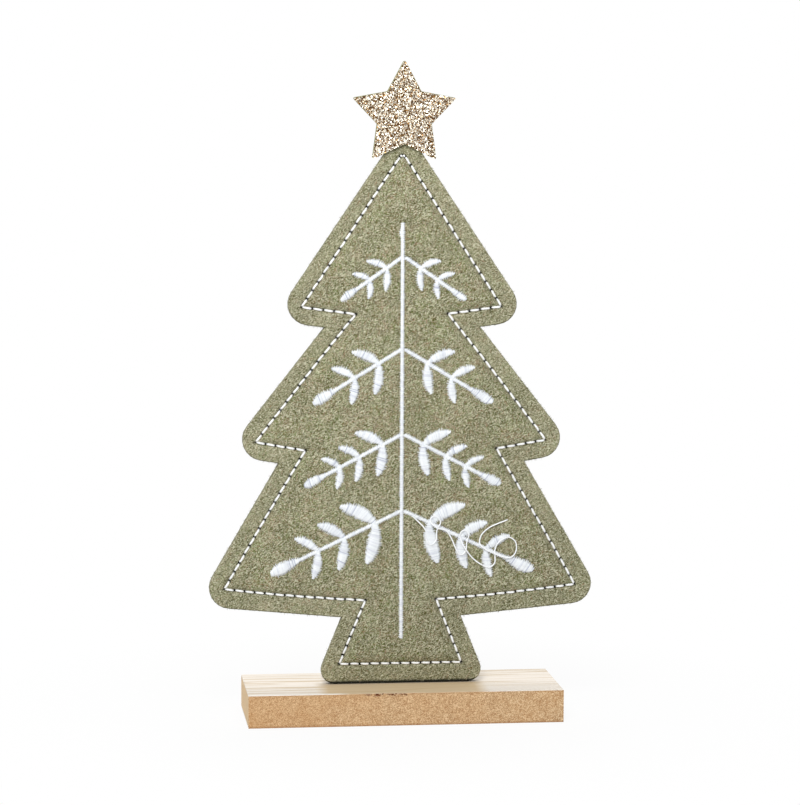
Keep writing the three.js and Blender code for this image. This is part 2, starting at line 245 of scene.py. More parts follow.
def scatterInside(draw, count, tries, low, high, outline):
    found = noPlaces
    while len(found) < count:
        tried = draw.uniform(low, high, (tries, 2))
        found = np.vstack([found, tried[distanceInside(tried, outline) > 0]])
    return found[:count]


# Helpers for materials

# Colours are given as they are seen on a screen, 0 to 255; the nodes take linear values
def linear(colour):
    if not isinstance(colour, tuple):
        return colour
    shares = [value / 255 for value in colour]
    return tuple(s / 12.92 if s <= 0.04045 else ((s + 0.055) / 1.055) ** 2.4 for s in shares) + (1.0,)


def addNode(tree, kind, inputs=None, **settings):
    node = tree.nodes.new("ShaderNode" + kind)
    for key, value in settings.items():
        setattr(node, key, value)
    for key, value in (inputs or {}).items():
        if isinstance(value, bpy.types.NodeSocket):
            tree.links.new(value, node.inputs[key])
        else:
            node.inputs[key].default_value = value
    return node


# The same sum again and again, for as many values as are given
def calculate(tree, operation, result, *others):
    for other in others or (0.0,):
        result = addNode(tree, "Math", {0: result, 1: other}, operation=operation).outputs[0]
    return result


def product(tree, *factors):
    return calculate(tree, "MULTIPLY", *factors)


def blend(tree, factor, first, second):
    inputs = {0: factor, 6: linear(first), 7: linear(second)}
    return addNode(tree, "Mix", inputs, data_type="RGBA", clamp_factor=True).outputs[2]


# Colours laid over a first one, each through its mask and with its share
def layered(tree, colour, *layers):
    for mask, share, layer in layers:
        colour = blend(tree, mask if share == 1 else product(tree, mask, share), colour, layer)
    return colour


def remap(tree, value, low, high, toLow=0.0, toHigh=1.0):
    inputs = {"Value": value, "From Min": low, "From Max": high, "To Min": toLow, "To Max": toHigh}
    return addNode(tree, "MapRange", inputs).outputs["Result"]


def vectorSum(tree, operation, first, key, second):
    return addNode(tree, "VectorMath", {0: first, key: second}, operation=operation).outputs[0]


def attribute(tree, name):
    return addNode(tree, "Attribute", attribute_name=name).outputs["Fac"]


def objectPlace(tree):
    return addNode(tree, "TexCoord").outputs["Object"]


def placeParts(tree):
    return addNode(tree, "SeparateXYZ", {0: objectPlace(tree)}).outputs


def facing(tree, axis):
    return addNode(tree, "SeparateXYZ", {0: addNode(tree, "TexCoord").outputs["Normal"]}).outputs[axis]


# Turned first and stretched after that, so that a pattern can run in any direction
def stretched(tree, vector, scale, turn=(0, 0, 0)):
    turned = addNode(tree, "Mapping", {"Vector": vector, "Rotation": turn}).outputs["Vector"]
    return addNode(tree, "Mapping", {"Vector": turned, "Scale": scale}).outputs["Vector"]


def cloud(tree, vector, scale, detail=1.0, rough=0.5, output="Fac"):
    inputs = {"Vector": vector, "Scale": scale, "Detail": detail, "Roughness": rough}
    return addNode(tree, "TexNoise", inputs).outputs[output]


# A place moved to and fro by a coloured cloud, which bends the pattern laid over it
def bentPlace(tree, place, waves, amount):
    centred = vectorSum(tree, "SUBTRACT", waves, 1, (0.5, 0.5, 0.5))
    return vectorSum(tree, "ADD", place, 1, vectorSum(tree, "SCALE", centred, 3, amount))


# Starts a group with its named inputs, which are numbers or colours
def openGroup(name, inputs):
    tree = bpy.data.node_groups.new(name, "ShaderNodeTree")
    for socketName, value in inputs.items():
        kind = "NodeSocketColor" if isinstance(value, tuple) else "NodeSocketFloat"
        tree.interface.new_socket(socketName, in_out="INPUT", socket_type=kind).default_value = value
    return tree, tree.nodes.new("NodeGroupInput").outputs


def closeGroup(tree, results):
    for name in results:
        kind = "NodeSocketColor" if name == "Color" else "NodeSocketFloat"
        tree.interface.new_socket(name, in_out="OUTPUT", socket_type=kind)
    ends = tree.nodes.new("NodeGroupOutput").inputs
    for name, value in results.items():
        tree.links.new(value, ends[name])
    return tree


def useGroup(tree, group, inputs):
    return addNode(tree, "Group", inputs, node_tree=group).outputs


# A material with a Principled shader whose plain numbers sit on its own sockets
def newMaterial(name, fixed):
    material = bpy.data.materials.new(name)
    material.use_nodes = True
    for key, value in fixed.items():
        material.node_tree.nodes["Principled BSDF"].inputs[key].default_value = value
    return material, material.node_tree


# Joins the finished colour, and where given the relief and roughness, to the shader; depth in metres
def finishMaterial(material, colour, height=None, depth=0.0, rough=None):
    tree = material.node_tree
    sockets = tree.nodes["Principled BSDF"].inputs
    tree.links.new(colour, sockets["Base Color"])
    if rough is not None:
        tree.links.new(rough, sockets["Roughness"])
    if height is not None:
        bump = addNode(tree, "Bump", {"Height": height, "Distance": depth, "Strength": 1.0})
        tree.links.new(bump.outputs["Normal"], sockets["Normal"])
    return material


# Shared effects

# Matted fibres: wavy streaks in several directions. Spacing is in fibres per metre.
def makeFibreGroup():
    tree, given = openGroup("mattedFibres", {"Spacing": 1300.0, "Waviness": 0.0012})
    place = objectPlace(tree)
    bent = bentPlace(tree, place, cloud(tree, place, 330.0, 2.0, 0.6, "Color"), given["Waviness"])
    streaks = []
    for index, degrees in enumerate((137, 112, 158, 88, 44, 172)):
        lying = stretched(tree, bent, (1.0, 0.8, 0.26), (0.0, math.radians(degrees), 0.0))
        apart = vectorSum(tree, "ADD", lying, 1, (index * 0.31,) * 3)
        streaks.append(cloud(tree, apart, given["Spacing"], 1.0, 0.4))
    light = calculate(tree, "MAXIMUM", *streaks[:4])
    dark = calculate(tree, "MINIMUM", streaks[0], *streaks[3:])
    return closeGroup(tree, {
        "Light": remap(tree, light, 0.58, 0.72),
        "Dark": remap(tree, dark, 0.42, 0.29),
        "Height": calculate(tree, "ADD", light, product(tree, dark, 0.4)),
    })


# Grain and streaks of wood that run along X
def makeGrainGroup():
    tree, given = openGroup("woodGrain", {"Spacing": 420.0, "Bending": 0.004})
    place = objectPlace(tree)
    drift = cloud(tree, stretched(tree, place, (0.3, 1.0, 1.0)), 34.0, 2.0, 0.5, "Color")
    bent = bentPlace(tree, place, drift, given["Bending"])
    broad = cloud(tree, stretched(tree, bent, (0.035, 1.0, 1.0)), 420.0, 2.0, 0.55)
    fine = cloud(tree, stretched(tree, bent, (0.03, 1.0, 1.0)), 2600.0, 2.0, 0.6)
    rings = cloud(tree, stretched(tree, bent, (0.025, 1.0, 1.0)), given["Spacing"])
    contours = calculate(tree, "SINE", product(tree, rings, 60.0))
    return closeGroup(tree, {
        "Lines": product(tree, remap(tree, contours, 0.4, 1.0), remap(tree, broad, 0.36, 0.56)),
        "Pores": remap(tree, fine, 0.62, 0.78),
        "Height": calculate(tree, "ADD", product(tree, broad, 0.4), fine),
    })


# Pressed wood dust: light and dark flecks. Size is in flecks per metre.
def makeSpeckleGroup():
    tree, given = openGroup("pressedFlecks", {"Size": 1500.0})
    place = objectPlace(tree)
    fine = cloud(tree, stretched(tree, place, (0.8, 1.0, 1.0)), given["Size"], 3.0, 0.7)
    coarse = cloud(tree, stretched(tree, place, (0.5, 1.0, 1.0), (0.4, 0.2, 0.1)), 620.0, 2.0, 0.6)
    mixed = calculate(tree, "ADD", product(tree, fine, 0.87), product(tree, coarse, 0.13))
    light = remap(tree, mixed, 0.51, 0.585)
    return closeGroup(tree, {"Light": light, "Dark": remap(tree, mixed, 0.49, 0.41), "Height": mixed})


# Spun thread: fine filaments and the shade that each strand has of its own
def makeThreadGroup():
    tree, given = openGroup("spunThread", {"Shade": (0.8, 0.8, 0.85, 1.0), "Clear": (1.0, 1.0, 1.0, 1.0)})
    filaments = cloud(tree, objectPlace(tree), 5200.0, 2.0, 0.6)
    shade = product(tree, remap(tree, filaments, 0.5, 0.34), 0.25)
    shade = calculate(tree, "ADD", shade, attribute(tree, "tone"))
    colour = blend(tree, shade, given["Clear"], given["Shade"])
    return closeGroup(tree, {"Color": colour, "Height": filaments})


fibreGroup = makeFibreGroup()
grainGroup = makeGrainGroup()
speckleGroup = makeSpeckleGroup()
threadGroup = makeThreadGroup()
print("shared effects ready")


# Materials: each look holds its colours and how strongly its layers show

feltLook = {
    "base": (122, 121, 85),
    "green": (118, 131, 78),
    "pink": (141, 121, 91),
    "greenFleck": (108, 134, 66),
    "pinkFleck": (158, 117, 103),
    "rim": (154, 151, 123),
    "light": (214, 212, 186),
    "dark": (68, 67, 31),
    # hole: painted shade inside the needle holes
    "hole": (4, 5, 8),
    "gapShade": (16, 18, 10),
    "fibres": {"Spacing": 3500.0, "Waviness": 0.0007},
    "patchShare": 0.9,
    "fleckShare": 0.45,
    "rimShare": 0.5,
    "lightShare": 0.85,
    "dimPatches": 0.25,
    "dimLowRight": 0.2,
    "shadeBelowStar": 0.085,
    "undersideShadeShare": 0.75,
    "gapShadeShare": 0.97,
    "relief": 0.00016,
}


def makeFelt(look):
    fixed = {"Roughness": 0.95, "Specular IOR Level": 0.1, "Sheen Weight": 0.06, "Sheen Roughness": 0.6}
    material, tree = newMaterial("woolFelt", fixed)
    fibres = useGroup(tree, fibreGroup, look["fibres"])
    place = objectPlace(tree)
    x, _, z = placeParts(tree)
    turned = stretched(tree, place, (1, 1, 1), (1.1, 0.6, 0.3))
    slanting = stretched(tree, place, (1.0, 1.0, 0.45), (0.0, math.radians(137), 0.0))
    dimPatch = remap(tree, cloud(tree, slanting, 130.0), 0.38, 0.62)
    lowRight = product(tree, remap(tree, x, -0.04, 0.015), remap(tree, z, 0.12, 0.03))
    # shadeBelowStar is painted shade of the star on the felt just below it
    shade = calculate(
        tree, "ADD", fibres["Dark"], product(tree, dimPatch, look["dimPatches"]),
        product(tree, lowRight, look["dimLowRight"]), remap(tree, z, 0.262, 0.225, 0.0, look["shadeBelowStar"]),
    )
    greenToPink = remap(tree, cloud(tree, turned, 1300.0), 0.38, 0.62)
    rim = attribute(tree, "rim")
    # Painted shade on the rounded rim edges that face down
    undersideShade = product(tree, remap(tree, facing(tree, "Z"), -0.12, -0.5), remap(tree, rim, 0.8, 1.0))
    foot = treeFoot * millimetre
    # Painted shadow in the gap where the trunk meets the foot
    footGapShade = remap(tree, z, foot + 0.0018, foot + 0.0008)
    colour = layered(
        tree, look["base"],
        (remap(tree, cloud(tree, place, 90.0, 2.0, 0.6), 0.46, 0.62), look["patchShare"], look["green"]),
        (remap(tree, cloud(tree, turned, 120.0, 2.0, 0.6), 0.5, 0.64), look["patchShare"], look["pink"]),
        (look["fleckShare"], 1, blend(tree, greenToPink, look["greenFleck"], look["pinkFleck"])),
        (rim, look["rimShare"], look["rim"]),
        (shade, 1, look["dark"]),
        (fibres["Light"], look["lightShare"], look["light"]),
        (attribute(tree, "needleHoleShade"), 1, look["hole"]),
        (undersideShade, look["undersideShadeShare"], look["dark"]),
        (footGapShade, look["gapShadeShare"], look["gapShade"]),
    )
    return finishMaterial(material, colour, fibres["Height"], look["relief"])


# The colour that a ramp gives for each strand's or flake's tone
def toneColour(tree, stops):
    ramp = addNode(tree, "ValToRGB", {"Fac": attribute(tree, "tone")})
    elements = ramp.color_ramp.elements
    elements.remove(elements[1])
    elements[0].color = linear(stops[0][1])
    for position, colour in stops[1:]:
        elements.new(position).color = linear(colour)
    return ramp.outputs["Color"]


fuzzTones = [
    (0.0, (92, 90, 58)),
    (0.3, (132, 131, 94)),
    (0.62, (168, 166, 132)),
    (0.85, (202, 200, 172)),
    (0.97, (166, 122, 86)),
]
# Flake colours from dark brown to near white: the flakes' gold with painted glints and painted dark
# reflections
glitterGlintTones = [
    (0.0, (62, 38, 16)),
    (0.4, (126, 92, 52)),
    (0.52, (182, 148, 98)),
    (0.58, (255, 249, 232)),
]


def makeFuzz():
    fixed = {"Roughness": 0.9, "Specular IOR Level": 0.15, "Sheen Weight": 0.2}
    material, tree = newMaterial("feltFuzz", fixed)
    along = remap(tree, cloud(tree, objectPlace(tree), 900.0), 0.35, 0.65)
    colour = layered(tree, toneColour(tree, fuzzTones), (along, 0.3, feltLook["base"]))
    return finishMaterial(material, colour)


def makeGlitter():
    fixed = {"Metallic": 1.0, "Roughness": 0.3, "Specular IOR Level": 0.5}
    material, tree = newMaterial("paleGoldGlitter", fixed)
    dulled = remap(tree, cloud(tree, objectPlace(tree), 3000.0), 0.3, 0.7)
    colour = layered(tree, toneColour(tree, glitterGlintTones), (dulled, 0.08, (120, 92, 60)))
    return finishMaterial(material, colour)


def makeThread(name, clear, shade, gloss, depth):
    fixed = {"Roughness": 0.45, "Specular IOR Level": gloss, "Sheen Weight": 0.25, "Sheen Roughness": 0.4}
    material, tree = newMaterial(name, fixed)
    thread = useGroup(tree, threadGroup, {"Clear": linear(clear), "Shade": linear(shade)})
    return finishMaterial(material, thread["Color"], thread["Height"], depth)


boardLook = {
    "base": (200, 167, 127),
    "light": (244, 218, 178),
    "dark": (140, 92, 50),
    "warm": (198, 146, 92),
    # end: both end faces painted lighter, painted light from the side
    "end": (250, 224, 184),
    "torn": (96, 44, 16),
    "flecks": {"Size": 3300.0},
    "tornMiddle": -0.0085,
    "tornHalfWidth": 0.0115,
}


# The board's colour, also for the cut edges of the veneers: darker along the bottom edge and just under the
# top edge, and torn fibres at the top edge before the trunk
def boardSurface(tree, look):
    flecks = useGroup(tree, speckleGroup, look["flecks"])
    place = objectPlace(tree)
    x, y, z = placeParts(tree)
    lowEdge = remap(tree, z, 0.0011, 0.0003, 0.0, 0.55)
    highEdge = remap(tree, z, 0.014, 0.0149, 0.0, 0.3)
    halfWidth = look["tornHalfWidth"]
    offset = calculate(tree, "ABSOLUTE", calculate(tree, "SUBTRACT", x, look["tornMiddle"]))
    spots = cloud(tree, stretched(tree, place, (0.6, 1.0, 1.0)), 900.0, 2.0, 0.6)
    torn = product(
        tree, remap(tree, offset, halfWidth, halfWidth - 0.003), remap(tree, z, 0.0134, 0.0143),
        remap(tree, y, 0.0, -0.01), remap(tree, spots, 0.47, 0.56),
    )
    colour = layered(
        tree, look["base"],
        (flecks["Light"], 0.85, look["light"]),
        (flecks["Dark"], 0.78, look["dark"]),
        (remap(tree, cloud(tree, place, 45.0, 2.0), 0.4, 0.65), 0.2, look["warm"]),
        (remap(tree, x, 0.03, -0.07), 0.36, look["warm"]),      # warmer to the left
        (calculate(tree, "MAXIMUM", lowEdge, highEdge), 1, look["dark"]),
        (torn, 1, look["torn"]),
    )
    return colour, flecks["Height"]


def makeBoard(look):
    material, tree = newMaterial("rawFibreboard", {"Roughness": 0.85, "Specular IOR Level": 0.2})
    colour, height = boardSurface(tree, look)
    # Both end faces painted lighter: painted light from the side
    litEnds = remap(tree, calculate(tree, "ABSOLUTE", facing(tree, "X")), 0.6, 0.9)
    return finishMaterial(material, layered(tree, colour, (litEnds, 0.7, look["end"])), height, 0.0002)


veneerLook = {
    "base": (241, 232, 220),
    "line": (202, 180, 146),
    "pore": (190, 168, 138),
    "treeShade": (209, 180, 134),
    "edgeHighlight": (252, 248, 240),
    "grain": {"Spacing": 85.0, "Bending": 0.008},
    "treeShadeMiddle": -0.001,
    "treeShadeHalfWidth": 0.034,
}


# Darker before the trunk, painted shade of the tree; a painted highlight along the front edge on the left;
# plain board on the cut edges
def makeVeneer(look):
    material, tree = newMaterial("paleVeneer", {"Specular IOR Level": 0.3})
    grain = useGroup(tree, grainGroup, look["grain"])
    x, y, _ = placeParts(tree)
    # Painted shade of the tree on the veneer before the trunk
    offset = calculate(tree, "ABSOLUTE", calculate(tree, "SUBTRACT", x, look["treeShadeMiddle"]))
    beside = remap(tree, offset, look["treeShadeHalfWidth"], look["treeShadeHalfWidth"] + 0.006, 1.0, 0.0)
    # Painted highlight along the front edge on the left
    edgeHighlight = product(tree, remap(tree, y, -0.0224, -0.0234), remap(tree, x, -0.026, -0.032))
    cutEdge = remap(tree, calculate(tree, "ABSOLUTE", facing(tree, "Y")), 0.8, 0.9)
    colour = layered(
        tree, look["base"],
        (grain["Lines"], 0.8, look["line"]),
        (grain["Pores"], 0.4, look["pore"]),
        (product(tree, beside, remap(tree, y, 0.004, -0.004)), 0.75, look["treeShade"]),
        (edgeHighlight, 0.85, look["edgeHighlight"]),
        (cutEdge, 1, boardSurface(tree, boardLook)[0]),
    )
    rough = remap(tree, grain["Lines"], 0.0, 1.0, 0.55, 0.68)
    return finishMaterial(material, colour, grain["Height"], 0.00006, rough)


# Plainer boards, whose layers name a kind of fleck, its share and its colour
def makeFleckedBoard(name, fixed, size, depth, base, *layers):
    material, tree = newMaterial(name, fixed)
    flecks = useGroup(tree, speckleGroup, {"Size": size})
    layers = [(flecks[kind], share, colour) for kind, share, colour in layers]
    return finishMaterial(material, layered(tree, base, *layers), flecks["Height"], depth)


def makeSteel():
    material, tree = newMaterial("brightSteel", {"Metallic": 1.0})
    scratches = cloud(tree, stretched(tree, objectPlace(tree), (1.0, 1.0, 0.03)), 4000.0, 2.0, 0.6)
    colour = blend(tree, scratches, (200, 202, 205), (168, 170, 174))
    return finishMaterial(material, colour, scratches, 0.00002, remap(tree, scratches, 0.3, 0.7, 0.28, 0.45))


def makeWadding():
    fixed = {"Roughness": 1.0, "Specular IOR Level": 0.1, "Sheen Weight": 0.3}
    material, tree = newMaterial("whiteWadding", fixed)
    fibres = useGroup(tree, fibreGroup, {"Spacing": 700.0, "Waviness": 0.003})
    colour = layered(
        tree, (242, 240, 234),
        (fibres["Dark"], 0.4, (206, 204, 198)),
        (fibres["Light"], 1, (252, 251, 248)),
    )
    return finishMaterial(material, colour, fibres["Height"], 0.0005)


# By the record's slots, and the fuzz, which has the felt's slot
materials = {
    "felt": makeFelt(feltLook),
    "fuzz": makeFuzz(),
    "seam_thread": makeThread("seamThread", (254, 255, 255), (200, 202, 210), 0.5, 0.0001),
    "embroidery": makeThread("satinThread", (251, 254, 255), (160, 167, 192), 0.6, 0.00007),
    "loose_thread": makeThread("looseThread", (251, 253, 255), (204, 208, 218), 0.5, 0.00006),
    "veneer": makeVeneer(veneerLook),
    "mdf": makeBoard(boardLook),
    "star_board": makeFleckedBoard(
        "olivePaintedBoard", {"Roughness": 0.75, "Specular IOR Level": 0.3}, 1900.0, 0.0001,
        (152, 150, 110), ("Dark", 0.5, (116, 114, 78)), ("Light", 0.4, (176, 174, 134)),
    ),
    "stiffener": makeFleckedBoard(
        "greyBoard", {"Roughness": 0.9, "Specular IOR Level": 0.2}, 1100.0, 0.00015,
        (164, 138, 102), ("Light", 0.5, (192, 168, 132)), ("Dark", 0.5, (120, 98, 70)),
    ),
    "glitter": makeGlitter(),
    "steel": makeSteel(),
    "wadding": makeWadding(),
}
print("materials ready")


# Loose thread over the lowest right sprig

looseThread = {
    "diameter": 0.6,
    "gap": 0.3,
    "stitchHeight": 0.5,
    "plies": 3,
    "groove": 0.1,
    "sides": 12,
    "stepsPerPoint": 8,
    "turnEvery": 2.2,
    "route": [      # x, height, and what it lies on there: 0 felt, 1 stitches, 2 itself over stitches
        (4.4, 78.5, 1), (10.5, 71.8, 1), (11, 67.2, 1), (12.4, 65.2, 1), (13.9, 65.2, 1),
        (15.6, 67.3, 1), (15.8, 71.4, 1), (17.5, 75.7, 1), (15.2, 78.2, 1), (13.4, 77.7, 1),
        (12.8, 75.9, 1), (15.7, 72.9, 2), (19.9, 71.6, 1), (22.6, 67.8, 0), (25, 62.2, 1),
        (26.3, 60.3, 1), (28, 60.3, 1), (29.4, 62.2, 1), (29.8, 66, 1), (30.7, 69.5, 1),
        (29.6, 71.2, 1), (28, 71.4, 1), (26.6, 69.7, 1), (27.4, 66.2, 1), (29.2, 62.7, 2),
        (33.2, 57.8, 0), (37.5, 54.9, 1), (40.5, 54.1, 1), (42.9, 55.9, 0), (43, 62.3, 1),
        (44.8, 65.8, 1), (49.2, 68, 1), (52.6, 65.7, 0), (52.9, 61.4, 0), (50.4, 58.5, 1),
        (43.4, 60.2, 2), (36.1, 64.6, 1), (36.4, 68.6, 0), (40, 72.3, 0), (48.9, 76.1, 0),
    ],
}


# A smooth line through points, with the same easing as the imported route
def smoothLine(points, steps):
    points = np.asarray(points, float)
    padded = np.vstack([2 * points[0] - points[1], points, 2 * points[-1] - points[-2]])
    share = np.linspace(0, 1, steps, endpoint=False)[:, None]
    pieces = []
    for p0, p1, p2, p3 in zip(padded, padded[1:], padded[2:], padded[3:]):
        first, middle, last = (np.linalg.norm(b - a) ** 0.5 for a, b in ((p0, p1), (p1, p2), (p2, p3)))
        leave = ((p1 - p0) / first - (p2 - p0) / (first + middle) + (p2 - p1) / middle) * middle
        arrive = ((p2 - p1) / middle - (p3 - p1) / (middle + last) + (p3 - p2) / last) * middle
        square = -3 * p1 + 3 * p2 - 2 * leave - arrive
        cube = 2 * p1 - 2 * p2 + leave + arrive
        pieces.append(p1 + leave * share + square * share ** 2 + cube * share ** 3)
    return np.vstack(pieces + [points[-1:]])


def makeLooseThread(plan):
    diameter = plan["diameter"]
    depths = np.cumsum([faceDepth + plan["gap"] + diameter / 2, plan["stitchHeight"], diameter + plan["gap"]])
    line = smoothLine([(x, -depths[level], z) for x, z, level in plan["route"]], plan["stepsPerPoint"])
    length = float(np.linalg.norm(np.diff(line, axis=0), axis=1).sum())
    section = yarnSection(plan, length / plan["turnEvery"], len(line))
    body = layStrands(line[None], (0, -1, 0), diameter / 2, diameter / 2, section, [0.0])
    thread = addPiece("loose_thread_yarn", body, "loose_thread", "loose_thread")


makeLooseThread(looseThread)


# The felt tree's outline and the line of its seam

treePlan = {
    "height": 257.5,
    "halfWidth": 95.2,
    "corners": [      # right half from the top down, as shares of the half width and the height
        (0.628, 0.654), (0.378, 0.6417), (0.856, 0.4159), (0.598, 0.3996),
        (1, 0.1449), (0.291, 0.1202), (0.422, 0),
    ],
    "tipRadius": 9.6,
    "apexRadius": 6,
    "footRadius": 6,
    "leastRadius": 0.4,
    "arcSteps": 8,
    "margins": [7.85, 8.05, 7.8, 8.05, 7.9, 9.0, 7.4],      # seam inside each edge of the right half
    "footMargin": 9.2,
    "apexMargin": 6.95,
    "bows": [0, 0, 0.3, 0, 0.2, 0.55, 0],      # how far the seam swings out in the middle of an edge
    "bowSteps": 6,
    "seamShift": -0.45,      # of the whole seam to the right
    "stitches": [18, 5, 16, 5, 16, 14, 7],      # along each of those edges
    "footStitches": 12,
    "apexHoles": [(1.15, -1.85), (0, -1.2), (-1.15, -1.85)],      # right, top, left, from the seam's corner
    "apexLead": 0.027,      # share of a top slope before its first whole stitch
    "leadSteps": 7,
    "stitchShares": [0, 0.07, 0.15, 0.27, 0.42, 0.58, 0.73, 0.85, 0.93],
}


def bothSides(half, middle):
    return half + [middle] + half[::-1]


# Corners from the apex down the left side and up the right one: (place, radius, whether it is a notch)
def treeCorners(plan):
    half = np.array([(0, 1)] + plan["corners"]) * (plan["halfWidth"], plan["height"])
    radii = [plan["apexRadius"]] + [plan["tipRadius"]] * (len(half) - 2) + [plan["footRadius"]]
    isNotch = [index % 2 == 0 and 0 < index < len(half) - 1 for index in range(len(half))]
    right = list(zip(half, radii, isNotch))
    left = [(point * (-1, 1), radius, notch) for point, radius, notch in right]
    return right[:1] + left[1:] + right[:0:-1]


corners = treeCorners(treePlan)
margins = bothSides(treePlan["margins"], treePlan["footMargin"])
bows = bothSides(treePlan["bows"], 0)
stitchCounts = bothSides(treePlan["stitches"], treePlan["footStitches"])


# A corner moved inwards with its two edges, and the directions of those edges
def movedCorner(index, marginShare, further, plan=treePlan):
    corner = corners[index][0]
    goingIn = unit(corner - corners[index - 1][0])
    goingOut = unit(corners[(index + 1) % len(corners)][0] - corner)
    insetIn = marginShare * (margins[index - 1] if index else plan["apexMargin"]) + further
    insetOut = marginShare * (margins[index] if index else plan["apexMargin"]) + further
    start = corner + turnedLeft(goingIn) * insetIn
    gap = corner + turnedLeft(goingOut) * insetOut - start
    turn = goingIn[0] * goingOut[1] - goingIn[1] * goingOut[0]
    along = (gap[0] * goingOut[1] - gap[1] * goingOut[0]) / turn
    shift = (marginShare * plan["seamShift"], 0)
    return start + goingIn * along + shift, goingIn, goingOut, min(insetIn, insetOut)


def cornerPoints(index, marginShare, further, plan=treePlan):
    point, goingIn, goingOut, inset = movedCorner(index, marginShare, further)
    _, radius, isNotch = corners[index]
    if isNotch:
        return point[None]
    radius = max(radius - inset, plan["leastRadius"])
    turn = math.acos(max(-1.0, min(1.0, float(goingIn @ goingOut))))
    start = point - goingIn * radius * math.tan(turn / 2)
    angles = np.linspace(0, turn, plan["arcSteps"] + 1)[:, None]
    return start + turnedLeft(goingIn) * radius * (1 - np.cos(angles)) + goingIn * radius * np.sin(angles)


# Places at shares of an edge that bows outwards
def bowedEdge(start, end, shares, bow):
    shares = np.asarray(shares, float)[:, None]
    return start + (end - start) * shares - unit(turnedLeft(end - start)) * 4 * bow * shares * (1 - shares)


# Shares of an edge at which its stitches lie; a short lead comes before them at the apex
def shiftedFromApex(index, shares):
    lead = treePlan["apexLead"]
    shares = np.asarray(shares, float)
    if index == 0:
        return lead + (1 - lead) * shares
    if index == len(corners) - 1:
        return (1 - lead) * shares
    return shares


# The outline moved inwards by a share of each seam margin and a further distance, with points that
# crowd at the needle holes
def treeRing(marginShare, further, plan=treePlan):
    arcs = [cornerPoints(index, marginShare, further) for index in range(len(corners))]
    lead = plan["apexLead"] * np.linspace(0, 1, plan["leadSteps"] + 1)[1:]
    points = []
    for index, arc in enumerate(arcs):
        count = stitchCounts[index]
        shares = [(stitch + part) / count for stitch in range(count) for part in plan["stitchShares"]][1:]
        shares = shiftedFromApex(index, shares)
        if index == 0:
            shares = np.concatenate([lead, shares])
        if index == len(arcs) - 1:
            shares = np.concatenate([shares, 1 - lead[::-1]])
        end = arcs[(index + 1) % len(arcs)][0]
        points += [arc, bowedEdge(arc[-1], end, shares, marginShare * bows[index])]
    return np.vstack(points)


seamCorners = np.array([movedCorner(index, 1, 0)[0] for index in range(len(corners))])
seamEnds = np.roll(seamCorners, -1, axis=0)


# Places at shares of one edge of the seam
def seamEdge(index, shares):
    return bowedEdge(seamCorners[index], seamEnds[index], shares, bows[index])


def seamOutline(plan):
    counts = [plan["bowSteps"] if bow else 1 for bow in bows]
    return np.vstack([seamEdge(index, np.arange(count) / count) for index, count in enumerate(counts)])


def needleHoles(plan):
    found = [
        seamEdge(index, shiftedFromApex(index, np.arange(count) / count))
        for index, count in enumerate(stitchCounts)
    ]
    apex = seamCorners[0] + np.array(plan["apexHoles"])
    return np.vstack([apex[1:], found[0][1:]] + found[1:] + [apex[:1]])


seamLine = seamOutline(treePlan)
holes = needleHoles(treePlan)


# Embroidery plan: the stem and the leafy sprigs, with places and widths as shares of a sprig's length

